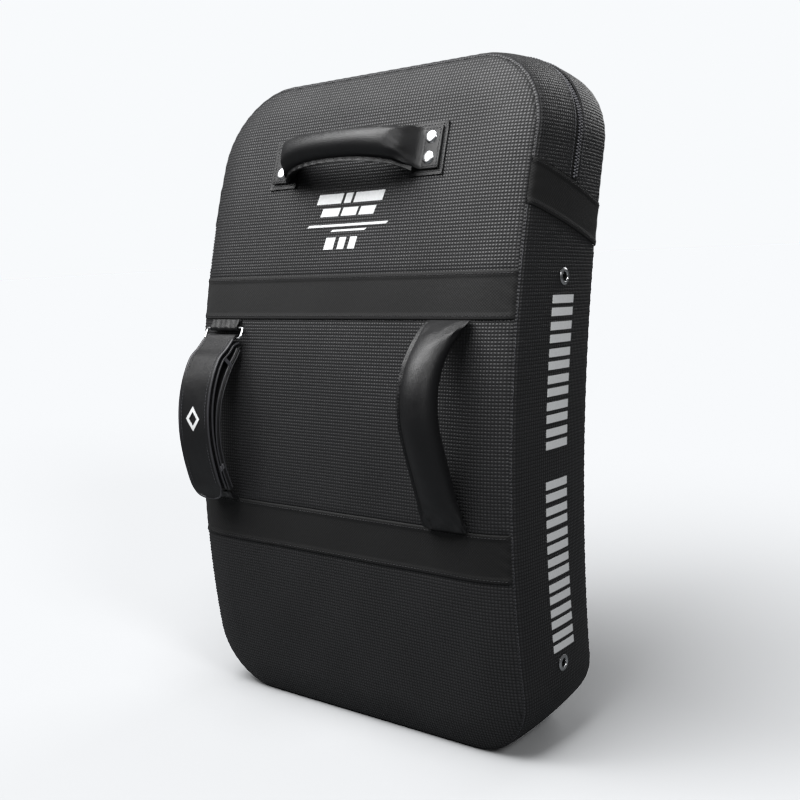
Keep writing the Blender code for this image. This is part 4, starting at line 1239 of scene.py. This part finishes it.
def cord(points, radius, finish):
    """A thin round cord through points, with closed ends."""
    curve = bpy.data.curves.new("cord", "CURVE")
    curve.dimensions = "3D"
    curve.bevel_depth, curve.bevel_resolution, curve.use_fill_caps = radius, 2, True
    spline = curve.splines.new("POLY")
    spline.points.add(len(points) - 1)
    spline.points.foreach_set("co", np.column_stack([points, np.ones(len(points))]).ravel())
    made = bpy.data.objects.new("cord", curve)
    bpy.context.scene.collection.objects.link(made)
    deselect()
    bpy.context.view_layer.objects.active = made
    made.select_set(True)
    bpy.ops.object.convert(target="MESH")
    made = bpy.context.object
    made.data.materials.clear()
    made.data.materials.append(FINISHES[finish])
    return smooth(made, 60)


def edges(line, half, radius, first=0.0, last=1.0):
    """A rolled edge of edge paint along both sides of a strap, drawn lighter grey as a painted highlight."""
    marks = np.linspace(first, last, 120)
    return [cord(strap_path(line, side * half, marks)[0], radius, "edge_paint_and_highlight") for side in (-1, 1)]


WRAP_RADIUS, RIM, TAPE_HALF = 0.0036, 0.0013, 0.020
FLAP_THREAD_AT, CARRIER_THREAD_AT = 0.0205, 0.0225
flap_line = arc_profile(RING_LOWER, WRAP_RADIUS, -110, 70) + list(FLAP_ARCH)
WRAPPED, BENDS_FROM, ROUND_END = 0.37, 0.44, 0.84


def flap_half(v):
    past = np.clip((v - ROUND_END) / (1 - ROUND_END), 0, 1)
    return STRAP_HALF * np.maximum(np.sqrt(1 - past ** 2), 0.30)


def flap_wave(a, v):
    """Soft bends that handling leaves along the flap."""
    return 0.0006 * (1 + np.sin(38 * v + 30 * a)) * np.clip((v - BENDS_FROM) / 0.1, 0, 1)


flap_sheet = strap("flap", flap_line, flap_half, FLAP_THICK, "smooth_leather", (20, 150), flap_wave)
flap_top = offset_line(flap_line, -FLAP_THICK / 2 - 0.0008)
# The flap's threads are in the lighter thread, a painted highlight for their glints.
flap_threads = [strap_thread(flap_top, side * FLAP_THREAD_AT, WRAPPED, 0.88, "seam_thread")
                for side in (-1, 1)]
down = np.linspace(WRAPPED, 1, 110)
rim_marks = np.concatenate([down, down[::-1]])
rim_side = np.repeat([1, -1], len(down)) * flap_half(rim_marks)
# The flap's rolled rim is edge paint drawn lighter grey, a painted highlight.
flap_rim = cord(strap_path(offset_line(flap_line, -0.0006), rim_side, rim_marks)[0], RIM, "edge_paint_and_highlight")
flap = join([flap_sheet, flap_rim, *flap_threads], "strap_flap_leather")
hand_over(flap, "strap_flap", "smooth_leather", "arm_strap_flap")

arch = np.array(FLAP_ARCH[1:-2])
under = FLAP_THICK / 2 + LAYER_GAP + PATCH_OF_HOOKS / 2
hooks = strap("hook_tape", offset_line(arch, under)[3:9], lambda v: TAPE_HALF + 0 * v, PATCH_OF_HOOKS,
              "hook_and_loop", (8, 60))
hand_over(hooks, "strap_flap", "hook_and_loop", "arm_strap_hook_patch")
print("strap flap and hook tape")

# %% The strap's sewn layers
under += PATCH_OF_HOOKS + LAYER_GAP
loops = strap("loop_tape", offset_line(arch, under)[1:9], lambda v: TAPE_HALF + 0 * v, PATCH_OF_HOOKS,
              "hook_and_loop", (8, 80))
hand_over(loops, "shield", "hook_and_loop", "arm_strap_loop_patch")
under += PATCH_OF_HOOKS / 2 + LAYER_GAP + CARRIER_THICK / 2
CARRIER_START = ((0.4385, 0.0052), (0.4350, 0.0140))
carrier_line = list(CARRIER_START) + list(offset_line(arch, under))
carrier_sheet = strap("carrier", carrier_line, lambda v: STRAP_HALF + 0 * v, CARRIER_THICK,
                      "smooth_leather", (16, 120))
carrier_threads = [strap_thread(offset_line(carrier_line, -CARRIER_THICK / 2), a) 
                   for a in (-CARRIER_THREAD_AT, CARRIER_THREAD_AT)]
carrier = join([carrier_sheet, *carrier_threads, *edges(carrier_line, STRAP_HALF, RIM)],
               "strap_carrier_leather")
hand_over(carrier, "shield", "smooth_leather", "arm_strap_carrier")

PAD_HALF, PAD_THICK = 0.027, 0.0037


def pad_shape(u, v):
    """A quilted pad whose rounded section follows the pad's own line."""
    spine, outward = strap_path(PAD_PATH, 0.0, v)
    ends = np.sqrt(np.clip(np.minimum(v, 1 - v) / 0.035, 0.02, 1))
    a, b = section(2 * math.pi * u, PAD_HALF, PAD_THICK * ends, 2.6)
    b = b * (1 - 0.10 * np.cos(v * 46) * (1 - (a / PAD_HALF) ** 2))
    return spine + outward * b[:, None] + np.outer(a, (1, 0, 0)), (u * 0.12, v * 0.2)


pad_skin = tube("pad_skin", (44, 90), pad_shape, "smooth_leather")
pad_rims = [rim for face in (1, -1) for rim in edges(offset_line(PAD_PATH, face * 0.0026), PAD_HALF - 0.0012,
                                                     0.0010, 0.03, 0.97)]
pad = join([pad_skin, *pad_rims], "strap_inner_pad")
hand_over(pad, "shield", "smooth_leather", "arm_strap_pad")
print("arm strap's carrier and pad")

# %% [markdown]
# A bartack is a dense block of stitches that takes the load where two layers are joined. Two on
# each edge hold the pad to the carrier. The ring hangs in a folded keeper under the upper band, and
# the strap's lower end is gathered into the lower band, which crumples it.

# %% Bartacks, keeper and anchor
BARTACKS, TACK_TURNS = (0.235, 0.78), 6
turns = []
for side in (1, -1):
    for share in BARTACKS:
        for k in range(TACK_TURNS):
            upper = strap_path(carrier_line, side * (STRAP_HALF + 0.0004), share + k * 0.004)[0]
            lower = strap_path(PAD_PATH, side * (PAD_HALF - 0.0004), share - 0.02 + k * 0.0046)[0]
            # The bartacks are in the lighter thread, a painted highlight for their glints.
            turns.append(cord(np.linspace(upper, lower, 3), 0.0007, "seam_thread"))
hand_over(join(turns, "strap_bartacks"), "shield", "smooth_leather")


def crumple(a, v):
    return 0.0006 * np.sin(330 * a + 9 * v) + 0.0004 * np.sin(710 * a - 14 * v)


KEEPER_RADIUS, KEEPER_HALF, KEEPER_THICK = 0.0031, 0.0230, 0.0012
keeper_line = [(0.4655, 0.0040), (0.4612, 0.0058), *arc_profile(RING_UPPER, KEEPER_RADIUS, 62, 270, 9),
               (0.4600, 0.0019), (0.4655, 0.0016)]
keeper = strap("strap_keeper_loop", keeper_line, lambda v: KEEPER_HALF + 0 * v, KEEPER_THICK,
               "smooth_leather", (40, 60), lambda a, v: 0.4 * crumple(a, v) * (v < 0.5))
hand_over(keeper, "shield", "smooth_leather", "arm_strap_keeper_tab")
ANCHOR_LINE = ((0.2535, 0.0030), (0.2548, 0.0075), (0.2580, 0.0125), (0.2640, 0.0162))
ANCHOR_HALF, ANCHOR_THICK = 0.023, 0.003
anchor = strap("strap_anchor_fold", ANCHOR_LINE, lambda v: ANCHOR_HALF + 0 * v, ANCHOR_THICK,
               "smooth_leather", (60, 20), crumple)
hand_over(anchor, "shield", "smooth_leather", "arm_strap_anchor_tab")
print(len(turns), "turns of thread in the bartacks")

# %% [markdown]
# ## The print
#
# Screen print is a film of ink that follows the leather. Each mark is a thin sheet laid a fraction
# of a millimetre over its surface. The marks are plain bars and a plain diamond, with no lettering.

# %% Print
INK, INK_RISE = 0.0002, 0.0004


def printed_bar(surface, first, second, lean=0.0, size=(10, 8)):
    """A bar between two values of each surface coordinate. lean slants its ends."""
    def shape(u, v):
        a = first[0] + (first[1] - first[0]) * u + lean * (v - 0.5)
        b = second[0] + (second[1] - second[0]) * v
        return surface(a, b, INK_RISE), (a, b)

    return cut_sheet("ink", size, shape, "print", INK)


# one row for each: its two heights, and where its bars start and end across the face
MARK_ROWS = (
    ((0.5935, 0.6045), ((-0.046, -0.010), (-0.006, 0.004), (0.008, 0.050))),
    ((0.5795, 0.5885), ((-0.038, -0.012), (-0.008, 0.014), (0.018, 0.040))),
    ((0.5680, 0.5705), ((-0.056, 0.060),)),
    ((0.5625, 0.5645), ((-0.020, 0.030),)),
    ((0.5430, 0.5560), ((-0.028, -0.014), (-0.008, 0.002), (0.008, 0.018))),
)
MARK_LEAN = 0.003
bars = [printed_bar(holder_side, across_range, heights, lean=MARK_LEAN, size=(12, 6))
        for heights, row in MARK_ROWS for across_range in row]
hand_over(join(bars, "printed_bars"), "shield", "embossed_leather")

COLUMN_TOP, COLUMN_PITCH, COLUMN_DEPTH = 0.489, 0.0275, (0.055, 0.097)
SKIPPED = 6
cells = [k for k in range(14) if k != SKIPPED]
side_bars = []
for k in cells:
    top = around_at(COLUMN_TOP - k * COLUMN_PITCH)
    for down, tall in ((0.0, 0.0085), (0.0130, 0.0085)):
        start = top - down
        side_bars.append(printed_bar(gusset, COLUMN_DEPTH, (start - tall, start), size=(16, 4)))
hand_over(join(side_bars, "printed_side_bars"), "shield", "embossed_leather")

DIAMOND_AT, DIAMOND = 0.3535, (0.0115, 0.0145)
diamond_line = through(flap_top, 600)
diamond_line = diamond_line[diamond_line[:, 1] > 0.03]


def diamond_shape(u, v):
    turn, share = (4 * v) % 4, 0.58 + 0.42 * u
    a = np.interp(turn, range(5), [0, 1, 0, -1, 0]) * DIAMOND[0] * share
    s = DIAMOND_AT + np.interp(turn, range(5), [1, 0, -1, 0, 1]) * DIAMOND[1] * share
    off = np.interp(-s, -diamond_line[:, 0], diamond_line[:, 1])
    return place(STRAP_X + a, s, -HOLDER_CROWN - off - INK_RISE), (a, s)


diamond = cut_sheet("printed_diamond", (4, 32), diamond_shape, "print", INK, 0.0)
hand_over(diamond, "strap_flap", "smooth_leather")
print(len(bars) + len(side_bars), "bars and a diamond")

# %% [markdown]
# ## The floor
#
# The floor only catches the shield's shadow. It is mid grey, so that it throws little light back
# onto the black cover. The sky is pale to the camera and much dimmer as a light.

# %% Floor, sizes and finish
deselect()
bpy.ops.mesh.primitive_plane_add(size=80)
floor = bpy.context.object
floor.name = "floor"
floor_paint, _, _ = start_material("studio_floor", Base_Color=linear("606264"), Roughness=0.9)
floor.data.materials.append(floor_paint)
floor.is_shadow_catcher = True
floor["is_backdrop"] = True

SKY_SEEN, SKY_LIGHT = 1.0, 0.13
world = bpy.data.worlds.new("pale_studio")
bpy.context.scene.world = world
world.use_nodes = True
sky_tree = world.node_tree
seen = node(sky_tree, "ShaderNodeLightPath").outputs["Is Camera Ray"]
strength = node(sky_tree, "ShaderNodeMapRange", {"Value": seen, "To Min": SKY_LIGHT, "To Max": SKY_SEEN})
sky = sky_tree.nodes["Background"]
sky.inputs["Color"].default_value = linear("F8FAFC")
sky_tree.links.new(strength.outputs["Result"], sky.inputs["Strength"])

low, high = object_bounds()
print("visual size", [round(1000 * v) for v in high - low], "mm")
